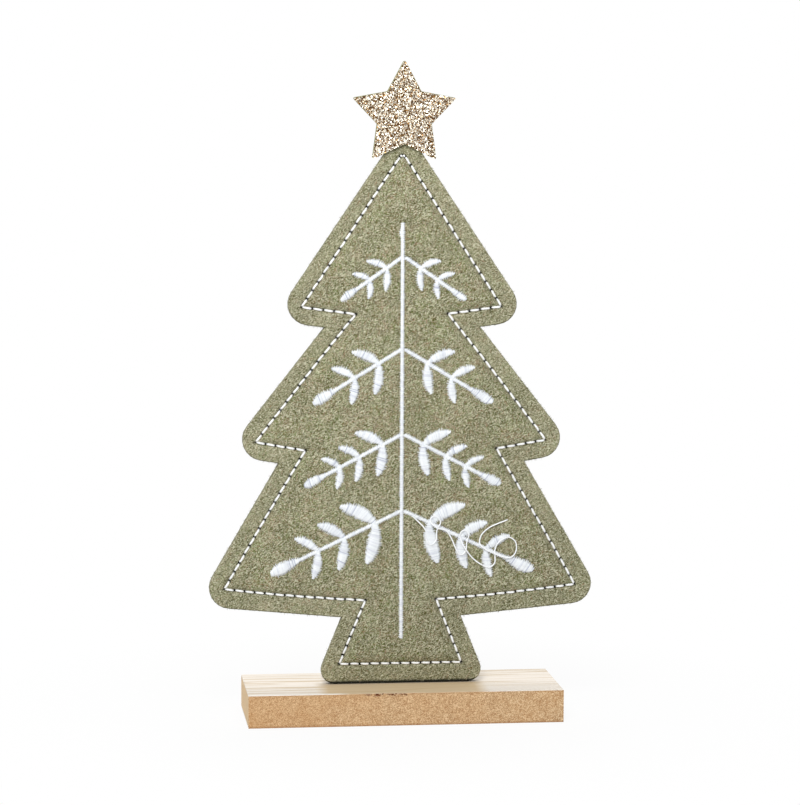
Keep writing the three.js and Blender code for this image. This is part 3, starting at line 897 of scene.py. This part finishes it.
embroidery = {
    "stemWidth": 2.0,
    "twigWidth": 1.8,
    "twigGrowth": (0.85, 0.1),      # share of its width at the stem, and how much it gains in a millimetre
    "stemGap": -0.7,
    "stemShift": -0.5,
    "stemLump": (4.6, 1.9, 0.32),      # a thicker place: how far below the tip, reach and width
    "stemShares": (0.083, 0.8276),      # of the tree's height
    "pitch": 0.46,
    "leastStitches": 8,
    "strandWidth": 0.22,
    "strandHeight": 0.25,
    "strandSides": 6,
    # Grey strands are painted shade of the dark slits between strands
    "kinds": {      # how much narrower the strands end, how far they slant, and the share of grey ones
        "leaf": (0.13, 0.16, 0.03), "bud": (0.1, 0.16, 0.08),
        "twig": (0.16, 0.45, 0.0), "stem": (0.34, 0.16, 0.0),
    },
    "slitShadeTone": 0.62,
    "toneSpread": 0.57,
    "crown": 0.42,
    "leastCrown": 0.55,
    "fullHalfWidth": 1.6,
    "buried": 0.3,
    "jagged": 0.5,
    "leastJagged": 0.5,
    "jaggedReach": (-0.6, 1),
    "leanSpread": 0.03,
    "crownSpread": 0.025,
    "flatTop": 2.8,
    "zigzag": 0.22,
    "steps": 7,
    "padWidth": 0.72,
    "padHeight": 0.85,
    "padSection": [(-1, -0.6), (1, -0.6), (0.95, 0.3), (0.6, 0.85), (0, 1), (-0.6, 0.85), (-0.95, 0.3)],
    "padTone": 0.15,
    "bends": (0.07, -0.06),      # of the upper and the lower leaves
    "leaf": [(0, 0.25), (0.12, 0.58), (0.3, 0.9), (0.5, 1), (0.7, 0.9), (0.87, 0.64), (1, 0.26)],
    "bud": [(0, 0.35), (0.15, 0.56), (0.35, 0.84), (0.58, 1), (0.78, 0.94), (0.92, 0.7), (1, 0.4)],
    "band": [(0, 1), (1, 1)],
    "rows": [      # height as a share of the tree's, length as a share of the half width, drop in degrees
        (0.769, 0.367, 35, "short"), (0.605, 0.508, 31.3, "short"),
        (0.452, 0.537, 27.7, "long"), (0.3145, 0.706, 25.3, "long"),
    ],
    "short": {
        "pairs": [      # joint, tips of the upper and lower leaf, and their widths
            (0.27, (0.435, 0.225), (0.455, -0.23), (0.092, 0.096)),
            (0.54, (0.68, 0.195), (0.695, -0.19), (0.08, 0.086)),
        ],
        "bud": (0.765, 0.098),
    },
    "long": {
        "pairs": [
            (0.205, (0.375, 0.212), (0.377, -0.225), (0.095, 0.0975)),
            (0.441, (0.568, 0.166), (0.572, -0.178), (0.072, 0.075)),
            (0.64, (0.75, 0.148), (0.756, -0.157), (0.061, 0.066)),
        ],
        "bud": (0.805, 0.086),
    },
    "seed": 11,
}


# A stitched shape at every stitch: its middle line, the directions along and across it and its half width
def stitchLine(plan, shape, start, end, width, bend=0.0):
    along = end - start
    count = round(float(np.linalg.norm(along)) / plan["pitch"])
    shares = np.linspace(0, 1, max(plan["leastStitches"], count))
    middle = start + along * shares[:, None] + turnedLeft(along) * bend * np.sin(math.pi * shares)[:, None]
    direction = unit(np.gradient(middle, axis=0))
    places, widths = zip(*plan[shape])
    return middle, direction, turnedLeft(direction), np.interp(shares, places, widths) * width / 2


# Every stitched shape of one sprig: (kind, line)
def sprigShapes(plan, row, side):
    heightShare, lengthShare, drop, pattern = row
    length = lengthShare * treePlan["halfWidth"]
    fall = math.radians(drop)
    foot = np.array([0, heightShare * treePlan["height"]])
    outwards = np.array([side * math.cos(fall), -math.sin(fall)]) * length

    def at(along, up=0):
        return foot + outwards * along + turnedLeft(outwards) * side * up

    shapes = []
    for joint, upper, lower, widths in plan[pattern]["pairs"]:
        for tip, width, bend in zip((upper, lower), widths, plan["bends"]):
            leaf = stitchLine(plan, "leaf", at(joint), at(*tip), width * length, side * bend)
            shapes.append(("leaf", leaf))
    twigHalf = plan["twigWidth"] / 2
    clear = plan["stemWidth"] / 2 + plan["stemGap"] + twigHalf * math.sin(fall)
    twigStart = at(clear / (length * math.cos(fall)))
    budStart, budWidth = plan[pattern]["bud"]
    middle, direction, sideways, halfWidths = stitchLine(plan, "band", twigStart, at(budStart), 2 * twigHalf)
    narrow, gain = plan["twigGrowth"]
    growing = np.clip(narrow + gain * plan["pitch"] * np.arange(len(middle)), 0, 1)
    shapes.append(("twig", (middle, direction, sideways, halfWidths * growing)))
    bud = stitchLine(plan, "bud", at(budStart - twigHalf / length), at(1), budWidth * length)
    return shapes + [("bud", bud)]


def stemShapes(plan):
    low, high = (np.array([plan["stemShift"], share * treePlan["height"]]) for share in plan["stemShares"])
    middle, direction, sideways, halfWidths = stitchLine(plan, "band", low, high, plan["stemWidth"])
    below, reach, amount = plan["stemLump"]
    lump = amount * np.exp(-((high[1] - below - middle[:, 1]) / reach) ** 2)
    return [("stem", (middle - lump[:, None] * (1, 0), direction, sideways, halfWidths + lump))]


allShapes = {"embroidered_stem": stemShapes(embroidery)}
for level, row in enumerate(embroidery["rows"], 1):
    allShapes[f"sprig_{level}_left"] = sprigShapes(embroidery, row, -1)
    allShapes[f"sprig_{level}_right"] = sprigShapes(embroidery, row, 1)

stitchedEdges = np.vstack([
    middle + sideways * halfWidths[:, None] * way
    for shapes in allShapes.values()
    for _, (middle, _, sideways, halfWidths) in shapes
    for way in (-1, 1)
])


# Felts: a thick soft sheet with a padded middle, drawn in by every stitch

felt = {
    "rim": 2.5,
    "rise": 2.0,
    "shoulder": 5.2,
    "shoulderEase": 2.4,
    "channel": (0.6, 0.85),      # depth and reach, as of the next three
    "hole": (0.75, 0.55),
    "pucker": (0.2, 1.7),
    "dimple": (0.36, 0.65),
    "holeShade": (3.2, 0.6),
    "holeShadeLoss": 0.25,
    "billow": 0.16,
    "billowSize": 17.0,
    "lumps": 0.07,
    "lumpSize": 2.4,
    "calmReach": 8,
    "unevenSink": 0.4,
    "rimEnd": 1.5,      # how far inside the seam the rim's paler look ends, and over what width
    "rimFade": 3,
    "lattice": 0.85,
    "edgeRough": 0.09,
    "edgeRoughScale": (0.8, 1.1, 0.8),
    "pocket": [(4.4, 2.0), (1.2, 0.0)],      # inset from the seam and depth
    "wall": [(0.2, 0.0), (0.04, 0.14), (-0.03, 0.7), (0.0, 1.4), (0.03, 1.95), (0.14, 2.26), (0.38, 2.43)],
    "rimRings": [(0, 0.8), (0.2, 0), (0.36, 0), (0.52, 0), (0.68, 0)],      # share of the margin and inset
    "seamRings": [-1.9, -1.35, -0.95, -0.6, -0.28, 0, 0.28, 0.6, 0.95, 1.35, 1.9, 2.6, 3.4, 4.3, 5.3],
}


def fading(amountAndReach, distance):
    amount, reach = amountAndReach
    return amount * np.exp(-(distance / reach) ** 2)


def feltDepth(flat, isFront):
    inward = distanceInside(flat, seamLine)
    toHole = nearestDistance(flat, holes)
    rise = 1 - (1 - np.clip(inward / felt["shoulder"], 0, 1)) ** felt["shoulderEase"]
    depth = felt["rim"] + felt["rise"] * rise - fading(felt["channel"], inward)
    depth -= fading(felt["hole"], toHole) + fading(felt["pucker"], toHole)
    if isFront:
        depth -= fading(felt["dimple"], nearestDistance(flat, stitchedEdges))
    calm = np.clip(inward / felt["calmReach"], 0, 1)
    depth += calm * felt["billow"] * (roughness(flat, felt["billowSize"], 0.5 + isFront) - felt["unevenSink"])
    return depth + felt["lumps"] * (roughness(flat, felt["lumpSize"], 3.5 + isFront) - felt["unevenSink"])


def latticeInside(spacing, inset):
    low = seamLine.min(0)
    high = seamLine.max(0)
    rows = np.arange(low[1], high[1], spacing * math.sqrt(3) / 2)
    x, z = np.meshgrid(np.arange(low[0], high[0], spacing), rows)
    x = x + (np.arange(len(rows)) % 2)[:, None] * spacing / 2
    flat = np.stack([x.ravel(), z.ravel()], -1)
    return flat[distanceInside(flat, seamLine) > inset]


def feltPanel(name, node, isFront):
    fixedDepths = [depth for _, depth in felt["pocket"] + felt["wall"]]
    rings = [treeRing(1, further) for further, _ in felt["pocket"]]
    rings += [treeRing(0, further) for further, _ in felt["wall"]]
    rings += [treeRing(share, further) for share, further in felt["rimRings"]]
    rings += [treeRing(1, further) for further in felt["seamRings"]]
    count = len(rings[0])
    lattice = latticeInside(felt["lattice"], felt["seamRings"][-1] + 0.5 * felt["lattice"])
    flat = np.vstack(rings + [lattice])
    firstShaped = len(fixedDepths) * count
    shaped = flat[firstShaped:]
    depths = np.concatenate([np.repeat(fixedDepths, count), feltDepth(shaped, isFront)])
    shade = np.clip(fading(felt["holeShade"], nearestDistance(shaped, holes)) - felt["holeShadeLoss"], 0, 1)
    shade = np.concatenate([np.zeros(firstShaped), shade])
    rim = np.clip((felt["rimEnd"] - distanceInside(flat, seamLine)) / felt["rimFade"], 0, 1)
    faces = ringFaces(count, len(rings)).tolist()
    faces += shifted(fillLoops([rings[-1]], places=lattice), (len(rings) - 1) * count)
    faces += fillLoops([rings[0]])
    points = atDepth(flat, -depths if isFront else depths)
    for index in range(len(felt["pocket"]) * count, firstShaped):
        rough = noise.noise_vector(points[index] * felt["edgeRoughScale"]) * felt["edgeRough"]
        points[index] += (rough.x, 0, rough.z)
    panel = addPiece(name, (points, faces, {"needleHoleShade": shade, "rim": rim}), "felt", node)


feltPanel("felt_panel_front", "felt_front", True)
feltPanel("felt_panel_back", "felt_back", False)


# Loose fibres that lie on the felts, and a few at the cut edge

fuzz = {
    "length": (1.4, 4.4),
    "leaning": (55, 40),      # most fibres run up to the right: middle and spread in degrees
    "halfWidth": (0.05, 0.11),
    "taper": [[0.5], [1.0], [1.0], [0.45]],
    "thickness": 0.05,
    "toneEase": 1.1,
    "bend": 1.1,
    "lift": 0.14,
    "arch": (0.3, 1),
    "inset": 1.2,
    "leastInset": 0.3,
    "clearOfHoles": 0.75,
    "outlineStep": 6,
    "section": [(-1, -0.6), (1, -0.6), (0, 0.9)],
    "seed": 5,
}
edgeFuzz = {
    "count": 1500,
    "inset": 0.1,
    "swing": 1.0,
    "length": (0.5, 1.5),
    "bend": 0.9,
    "depth": 2.35,
    "wander": 0.3,
    "halfWidth": (0.035, 0.07),
    "taper": [[1], [1], [0.8], [0.4]],
    "tones": (0.1, 0.8),
    "seed": 12,
}


# Rows of steps that bend on their way, each from zero
def bentRows(angles, bends, lengths, shares):
    turned = angles[:, None] + bends[:, None] * shares
    steps = np.stack([np.cos(turned), np.sin(turned)], -1) * (lengths / len(shares))[:, None, None]
    return np.cumsum(steps, axis=1) - steps[:, :1]


def makeFuzzPiece(name, isFront, count, plan):
    draw = np.random.default_rng(plan["seed"] + isFront)
    side = -1 if isFront else 1
    width = treePlan["halfWidth"]
    outline = treeRing(0, plan["inset"])[::plan["outlineStep"]]
    starts = scatterInside(draw, count, 2 * count, (-width, 0), (width, treePlan["height"]), outline)
    angles = np.radians(draw.normal(*plan["leaning"], count))
    lengths = draw.uniform(*plan["length"], count)
    bends = draw.normal(0, plan["bend"], count)
    rows = bentRows(angles, bends, lengths, np.linspace(-0.5, 0.5, len(plan["taper"])))
    lines = starts[:, None] + rows - rows.mean(1, keepdims=True)
    flat = lines.reshape(-1, 2)
    outline = treeRing(0, plan["leastInset"])[::plan["outlineStep"]]
    isKept = (distanceInside(flat, outline) > 0) & (nearestDistance(flat, holes) > plan["clearOfHoles"])
    lines = lines[isKept.reshape(count, -1).all(1)]
    count = len(lines)
    arch = np.sin(np.linspace(0, math.pi, len(plan["taper"]))) * draw.uniform(*plan["arch"], count)[:, None]
    depth = feltDepth(lines.reshape(-1, 2), isFront).reshape(arch.shape) + arch * plan["lift"]
    halfWidths = draw.uniform(*plan["halfWidth"], count)[:, None, None] * plan["taper"]
    tones = draw.uniform(0, 1, count) ** plan["toneEase"]
    centres = atDepth(lines, side * depth)
    body = layStrands(centres, (0, side, 0), halfWidths, plan["thickness"], plan["section"], tones)
    addPiece(name, body, "felt", look="fuzz")


def makeEdgeFuzz(plan):
    draw = np.random.default_rng(plan["seed"])
    count = plan["count"]
    outline = treeRing(0, plan["inset"])
    places = draw.integers(0, len(outline), count)
    along = outline[(places + 1) % len(outline)] - outline[places]
    starts = outline[places] + along * draw.uniform(0, 1, (count, 1))
    outwards = -turnedLeft(unit(along))
    angles = np.arctan2(outwards[:, 1], outwards[:, 0]) + draw.normal(0, plan["swing"], count)
    lengths = draw.uniform(*plan["length"], count)
    shares = np.linspace(0, 1, len(plan["taper"]))
    lines = starts[:, None] + bentRows(angles, draw.normal(0, plan["bend"], count), lengths, shares)
    depth = draw.uniform(-plan["depth"], plan["depth"], count)[:, None]
    depth = depth + draw.normal(0, plan["wander"], count)[:, None] * shares
    halfWidths = draw.uniform(*plan["halfWidth"], count)[:, None, None] * plan["taper"]
    tones = draw.uniform(*plan["tones"], count)
    body = layStrands(atDepth(lines, depth), (0, 1, 0.01), halfWidths, halfWidths, fuzz["section"], tones)
    addPiece("edge_fuzz", body, "felt", look="fuzz")


makeFuzzPiece("front_fuzz", True, 10000, fuzz)
makeFuzzPiece("back_fuzz", False, 8000, fuzz)
makeEdgeFuzz(edgeFuzz)


# Seam stitches: short twisted lengths of thread from hole to hole

stitching = {
    "radius": 0.52,
    "flatness": 0.92,
    "thinEnd": 0.55,
    "endGap": 0.52,
    "floor": 1.9,
    "lift": 0.5,
    "liftSpread": 0.04,
    "dive": 0.9,
    "diveEase": 7.0,
    "steps": 13,
    "sides": 12,
    "plies": 3,
    "groove": 0.09,
    "turns": 1.6,
    "slant": 0.1,
    "wobble": 0.07,
    "tone": (0.05, 0.08),
    "seed": 3,
}


def makeStitches(name, node, isFront, plan):
    draw = np.random.default_rng(plan["seed"] + isFront)
    side = -1 if isFront else 1
    direction = unit(np.roll(holes, -1, axis=0) - holes)
    sideways = turnedLeft(direction)
    inset = direction * plan["endGap"] + sideways * plan["slant"]
    starts = holes + inset
    run = np.roll(holes, -1, axis=0) - inset - starts
    shares = 0.5 - 0.5 * np.cos(math.pi * np.linspace(0, 1, plan["steps"]))
    wobble = draw.normal(0, plan["wobble"], len(holes))[:, None] * np.sin(math.pi * shares)
    flat = starts[:, None] + run[:, None] * shares[:, None] + sideways[:, None] * wobble[..., None]
    crest = 1 - np.abs(2 * shares - 1) ** plan["diveEase"]
    lifts = plan["lift"] + draw.normal(0, plan["liftSpread"], len(holes))[:, None]
    centres = atDepth(flat, side * (plan["floor"] + lifts * crest - plan["dive"] * (1 - crest)))
    across = atDepth(sideways, 0)[:, None]
    lift = np.cross(across, unit(np.gradient(centres, axis=1)))
    swell = (plan["thinEnd"] + (1 - plan["thinEnd"]) * crest)[:, None] * plan["radius"]
    tones = np.clip(draw.normal(*plan["tone"], len(holes)), 0, 1)
    section = yarnSection(plan, plan["turns"], plan["steps"])
    body = strandBodies(centres, across * swell, lift * swell * plan["flatness"], section, tones)
    addPiece(name, body, "seam_thread", node)


makeStitches("needle_stitches", "seam_needle_thread", True, stitching)
makeStitches("bobbin_stitches", "seam_bobbin_thread", False, stitching)


# Satin stitch: strands laid side by side over a low pad
def satinBodies(draw, kind, line, plan):
    middle, direction, sideways, halfWidths = line
    narrower, slant, slitShadeShare = plan["kinds"][kind]
    count = len(middle)
    shares = np.linspace(-1, 1, plan["steps"])
    fullness = halfWidths / plan["fullHalfWidth"]
    widest = halfWidths - narrower
    jagged = plan["jagged"] * np.clip(fullness, plan["leastJagged"], 1.0)
    zigzag = np.where(np.arange(count) % 2 == 0, 1, -1) * plan["zigzag"]
    reachLeft = widest + zigzag + draw.uniform(*plan["jaggedReach"], count) * jagged
    reachRight = widest - zigzag + draw.uniform(*plan["jaggedReach"], count) * jagged
    reach = np.where(shares < 0, reachLeft[:, None], reachRight[:, None]) * shares
    lean = reach * slant + draw.normal(0, plan["leanSpread"], count)[:, None]
    flat = middle[:, None] + sideways[:, None] * reach[..., None] + direction[:, None] * lean[..., None]
    crown = plan["crown"] * np.clip(fullness, plan["leastCrown"], 1.0)
    crown = crown + draw.normal(0, plan["crownSpread"], count)
    height = (crown[:, None] + plan["buried"]) * (1 - np.abs(shares) ** plan["flatTop"]) - plan["buried"]
    centres = atDepth(flat, -faceDepth - height)
    travel = unit(np.gradient(centres, axis=1))
    along = atDepth(direction, 0)[:, None]
    across = unit(along - travel * np.sum(along * travel, -1, keepdims=True))
    lift = unit(np.cross(across, travel)) * plan["strandHeight"]
    # Some strands get the grey tone: painted shade of slits between strands
    isSlitShade = draw.uniform(0, 1, count) < slitShadeShare
    tones = np.where(isSlitShade, plan["slitShadeTone"], draw.uniform(0, plan["toneSpread"], count) ** 2)
    strands = strandBodies(centres, across * plan["strandWidth"], lift, circle(plan["strandSides"]), tones)
    padAcross = atDepth(sideways, 0) * halfWidths[:, None] * plan["padWidth"]
    padLift = np.multiply.outer(crown * plan["padHeight"], (0, -1, 0))
    padCentres = atDepth(middle, -faceDepth)[None]
    pad = strandBodies(padCentres, padAcross[None], padLift[None], plan["padSection"], [plan["padTone"]])
    return [strands, pad]


def makeEmbroidery(plan):
    draw = np.random.default_rng(plan["seed"])
    for node, shapes in allShapes.items():
        bodies = []
        for kind, line in shapes:
            bodies += satinBodies(draw, kind, line, plan)
        addPiece(node + "_satin", joinBodies(bodies), "embroidery", node)


makeEmbroidery(embroidery)


# Star: a painted board with a glitter layer

star = {
    "points": 5,
    "radius": 25.0,
    "notch": 13.2,
    "rounding": 0.55,      # how much shorter the rounded upper point is
    "inset": 0.35,
    "pointInset": 1.4,      # times the inset at the points
    "edgeSteps": 24,
    "layer": 0.32,
    "layerSide": 0.7,
    "layerEase": 0.012,
    "layerTone": 0.12,
    "flakes": 10500,
    "flakeInset": 0.3,
    "flakeRadius": (0.19, 0.38),
    "flakeThickness": 0.05,
    "flakeSides": 5,
    "flakeLift": (-0.02, 0.16),
    "tilt": 0.42,
    "seed": 9,
}


def starOutline(plan, inset):
    count = 2 * plan["points"]
    radii = np.tile([plan["radius"] - plan["pointInset"] * inset, plan["notch"] - inset], plan["points"])
    angles = math.pi / 2 + np.arange(count) * math.pi / plan["points"]
    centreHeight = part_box("star_board")[1].z / millimetre - treeFoot - plan["radius"] + plan["rounding"]
    return np.stack([radii * np.cos(angles), centreHeight + radii * np.sin(angles)], -1)


def glitterLayer(plan, back):
    outline = starOutline(plan, plan["inset"])
    steps = np.linspace(0, 1, plan["edgeSteps"], endpoint=False)[:, None]
    ring = np.vstack([a + (b - a) * steps for a, b in zip(outline, np.roll(outline, -1, axis=0))])
    inner = ring + (ring.mean(0) - ring) * plan["layerEase"]
    side = atDepth(ring, -back - plan["layer"] * plan["layerSide"])
    points = np.vstack([atDepth(ring, -back), side, atDepth(inner, -back - plan["layer"])])
    cap = fillLoops([ring])
    faces = ringFaces(len(ring), 3).tolist() + cap + shifted(cap, 2 * len(ring))
    return points, faces, {"tone": np.full(len(points), plan["layerTone"])}


def glitterFlakes(draw, plan, back):
    count = plan["flakes"]
    outline = starOutline(plan, plan["flakeInset"])
    places = scatterInside(draw, count, count, outline.min(0), outline.max(0), outline)
    tilt = np.abs(draw.normal(0, plan["tilt"], count))
    lean = draw.uniform(0, 2 * math.pi, count)
    normal = np.stack([np.sin(tilt) * np.cos(lean), -np.cos(tilt), np.sin(tilt) * np.sin(lean)], -1)
    across = unit(np.cross(normal, draw.normal(0, 1, (count, 3))))
    lift = np.cross(normal, across)
    radii = draw.uniform(*plan["flakeRadius"], count)[:, None]
    middle = atDepth(places, -(back + plan["layer"] + draw.uniform(*plan["flakeLift"], count)))
    thickness = normal * plan["flakeThickness"] / 2
    centres = np.stack([middle - thickness, middle + thickness], 1)
    across, lift = (np.repeat((vectors * radii)[:, None], 2, axis=1) for vectors in (across, lift))
    return strandBodies(centres, across, lift, circle(plan["flakeSides"]), draw.uniform(0, 1, count))


def makeGlitterPiece(plan):
    draw = np.random.default_rng(plan["seed"])
    back = -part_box("star_board")[0].y / millimetre
    body = joinBodies([glitterLayer(plan, back), glitterFlakes(draw, plan, back)])
    addPiece("star_glitter_flakes", body, "glitter", "star_glitter", smooth=False)


makeGlitterPiece(star)


# Foot: the core and the lower veneer keep their solids; the top veneer gets a worn front edge

foot = {
    "edgeStep": 0.5,
    "nibble": 0.12,
    "nibbleSizes": (1.6, 0.5),
    "fineNibble": 0.35,
    "chips": [      # middle, half width and depth
        (-13.5, 1.4, 0.5), (-10.8, 1.1, 0.75), (-8.2, 1.6, 0.45),
        (-5.0, 0.9, 0.6), (3.2, 1.0, 0.3), (24.0, 1.3, 0.3),
    ],
    "easing": 0.12,
    "boreRadius": 1.2,
    "boreSpacing": 16,
    "boreSides": 24,
}


def makeTopVeneer(plan):
    low, high = (np.array(corner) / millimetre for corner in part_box("base_top_veneer"))
    xs = np.arange(low[0], high[0], plan["edgeStep"])[1:]
    along = np.stack([xs, 0 * xs], -1)
    coarse, fine = plan["nibbleSizes"]
    ragged = roughness(along, coarse) + plan["fineNibble"] * roughness(along, fine, 2.0)
    wear = plan["nibble"] * np.clip(ragged, 0, 1)
    for centre, width, depth in plan["chips"]:
        wear = np.maximum(wear, depth * np.exp(-((xs - centre) / width) ** 4))
    front = np.stack([xs, low[1] + wear], -1)
    outline = np.vstack([low[:2], front, (high[0], low[1]), high[:2], (low[0], high[1])])
    bore = circle(plan["boreSides"], plan["boreRadius"])
    bores = [bore + (way * plan["boreSpacing"] / 2, 0) for way in (-1, 1)]
    eased = outline + np.sign((low[:2] + high[:2]) / 2 - outline) * plan["easing"]
    loops = [outline] + bores
    edges = loopEdges(loops)
    count = len(edges)
    levels = [(loops, low[2]), (loops, high[2] - plan["easing"]), ([eased] + bores, high[2])]
    points = np.vstack([
        np.column_stack([np.vstack(levelLoops), np.full(count, height - treeFoot)])
        for levelLoops, height in levels
    ])
    cap = fillLoops(loops, 4)
    faces = cap + shifted(cap, 2 * count)
    for base in (0, count):
        faces += [[base + a, base + b, base + count + b, base + count + a] for a, b in edges]
    addPiece("top_veneer_worn", (points, faces, {}), "veneer", "base_top_veneer", smooth=False)


makeTopVeneer(foot)

for part in frame["record"]["subparts"]:
    slots = frame["nodes"][part["node"]].data.materials
    slots.clear()
    slots.append(materials[part["material_slot"]])

for nodeName, width in {"base_core": 0.25, "base_bottom_veneer": 0.1, "star_board": 0.15}.items():
    softening = frame["nodes"][nodeName].modifiers.new("edges", "BEVEL")
    softening.width = width * millimetre
    softening.segments = 2
    softening.limit_method = "ANGLE"
print("foot and inner parts dressed")


# Floor, lamps and background, in metres

studio = {
    "floorSize": 6.0,
    "floorColour": (233.65, 233.65, 233.65),
    "floorTint": (243.45, 243.45, 243.45),
    "floorDrop": 0.0001,
    "lamps": [      # name, place, aim, size, power
        ("frontLamp", (-0.2, -0.66, 0.62), (0, 0, 0.2), 0.35, 5.2),
        ("topLamp", (0.1, 0.6, 1.5), (0, 0, 0.1), 1.2, 9.0),
    ],
    "worldLevel": 0.435,
    "fadeStart": 0.1,
    "fadeEnd": 0.22,
    "shadowShare": 0.08,
}


# 1 for the rays that meet plain white: those of the picture itself, and those seen in metal or through glass
def whiteRays(tree):
    rays = addNode(tree, "LightPath").outputs
    kinds = ("Camera", "Glossy", "Transmission")
    return calculate(tree, "MAXIMUM", *[rays[f"Is {kind} Ray"] for kind in kinds])


def makeFloor(plan):
    material, tree = newMaterial("paleFloor", {"Roughness": 0.9, "Specular IOR Level": 0.0})
    place = objectPlace(tree)
    tint = (cloud(tree, place, 3.0), 0.02, plan["floorTint"])
    finishMaterial(material, layered(tree, plan["floorColour"], tint))
    distance = addNode(tree, "VectorMath", {0: place}, operation="LENGTH").outputs["Value"]
    white = remap(tree, distance, plan["fadeStart"], plan["fadeEnd"], 1 - plan["shadowShare"], 1.0)
    inputs = {
        0: product(tree, whiteRays(tree), white),
        1: tree.nodes["Principled BSDF"].outputs[0],
        2: addNode(tree, "Emission", {"Color": (1, 1, 1, 1), "Strength": 1.0}).outputs[0],
    }
    surface = addNode(tree, "MixShader", inputs).outputs[0]
    tree.links.new(surface, tree.nodes["Material Output"].inputs["Surface"])
    mesh = bpy.data.meshes.new("floor")
    ways = np.array([(-1, -1, 0), (1, -1, 0), (1, 1, 0), (-1, 1, 0)])
    mesh.from_pydata((ways * plan["floorSize"] / 2).tolist(), [], [(0, 1, 2, 3)])
    mesh.materials.append(material)
    floor = addObject("floor", mesh)
    floor.location.z = -plan["floorDrop"]


def makeStudio(plan):
    makeFloor(plan)
    world = bpy.data.worlds.new("studioWorld")
    bpy.context.scene.world = world
    world.use_nodes = True
    tree = world.node_tree
    background = tree.nodes["Background"].inputs
    background["Color"].default_value = (1, 1, 1, 1)
    tree.links.new(remap(tree, whiteRays(tree), 0.0, 1.0, plan["worldLevel"], 1.0), background["Strength"])
    for name, place, aim, size, power in plan["lamps"]:
        lamp = bpy.data.lights.new(name, "AREA")
        lamp.shape = "DISK"
        lamp.size = size
        lamp.energy = power
        holder = addObject(name, lamp)
        holder.location = place
        holder.rotation_euler = (Vector(aim) - Vector(place)).to_track_quat("-Z", "Y").to_euler()


makeStudio(studio)
bpy.context.scene.view_settings.view_transform = "Standard"
print("studio ready")
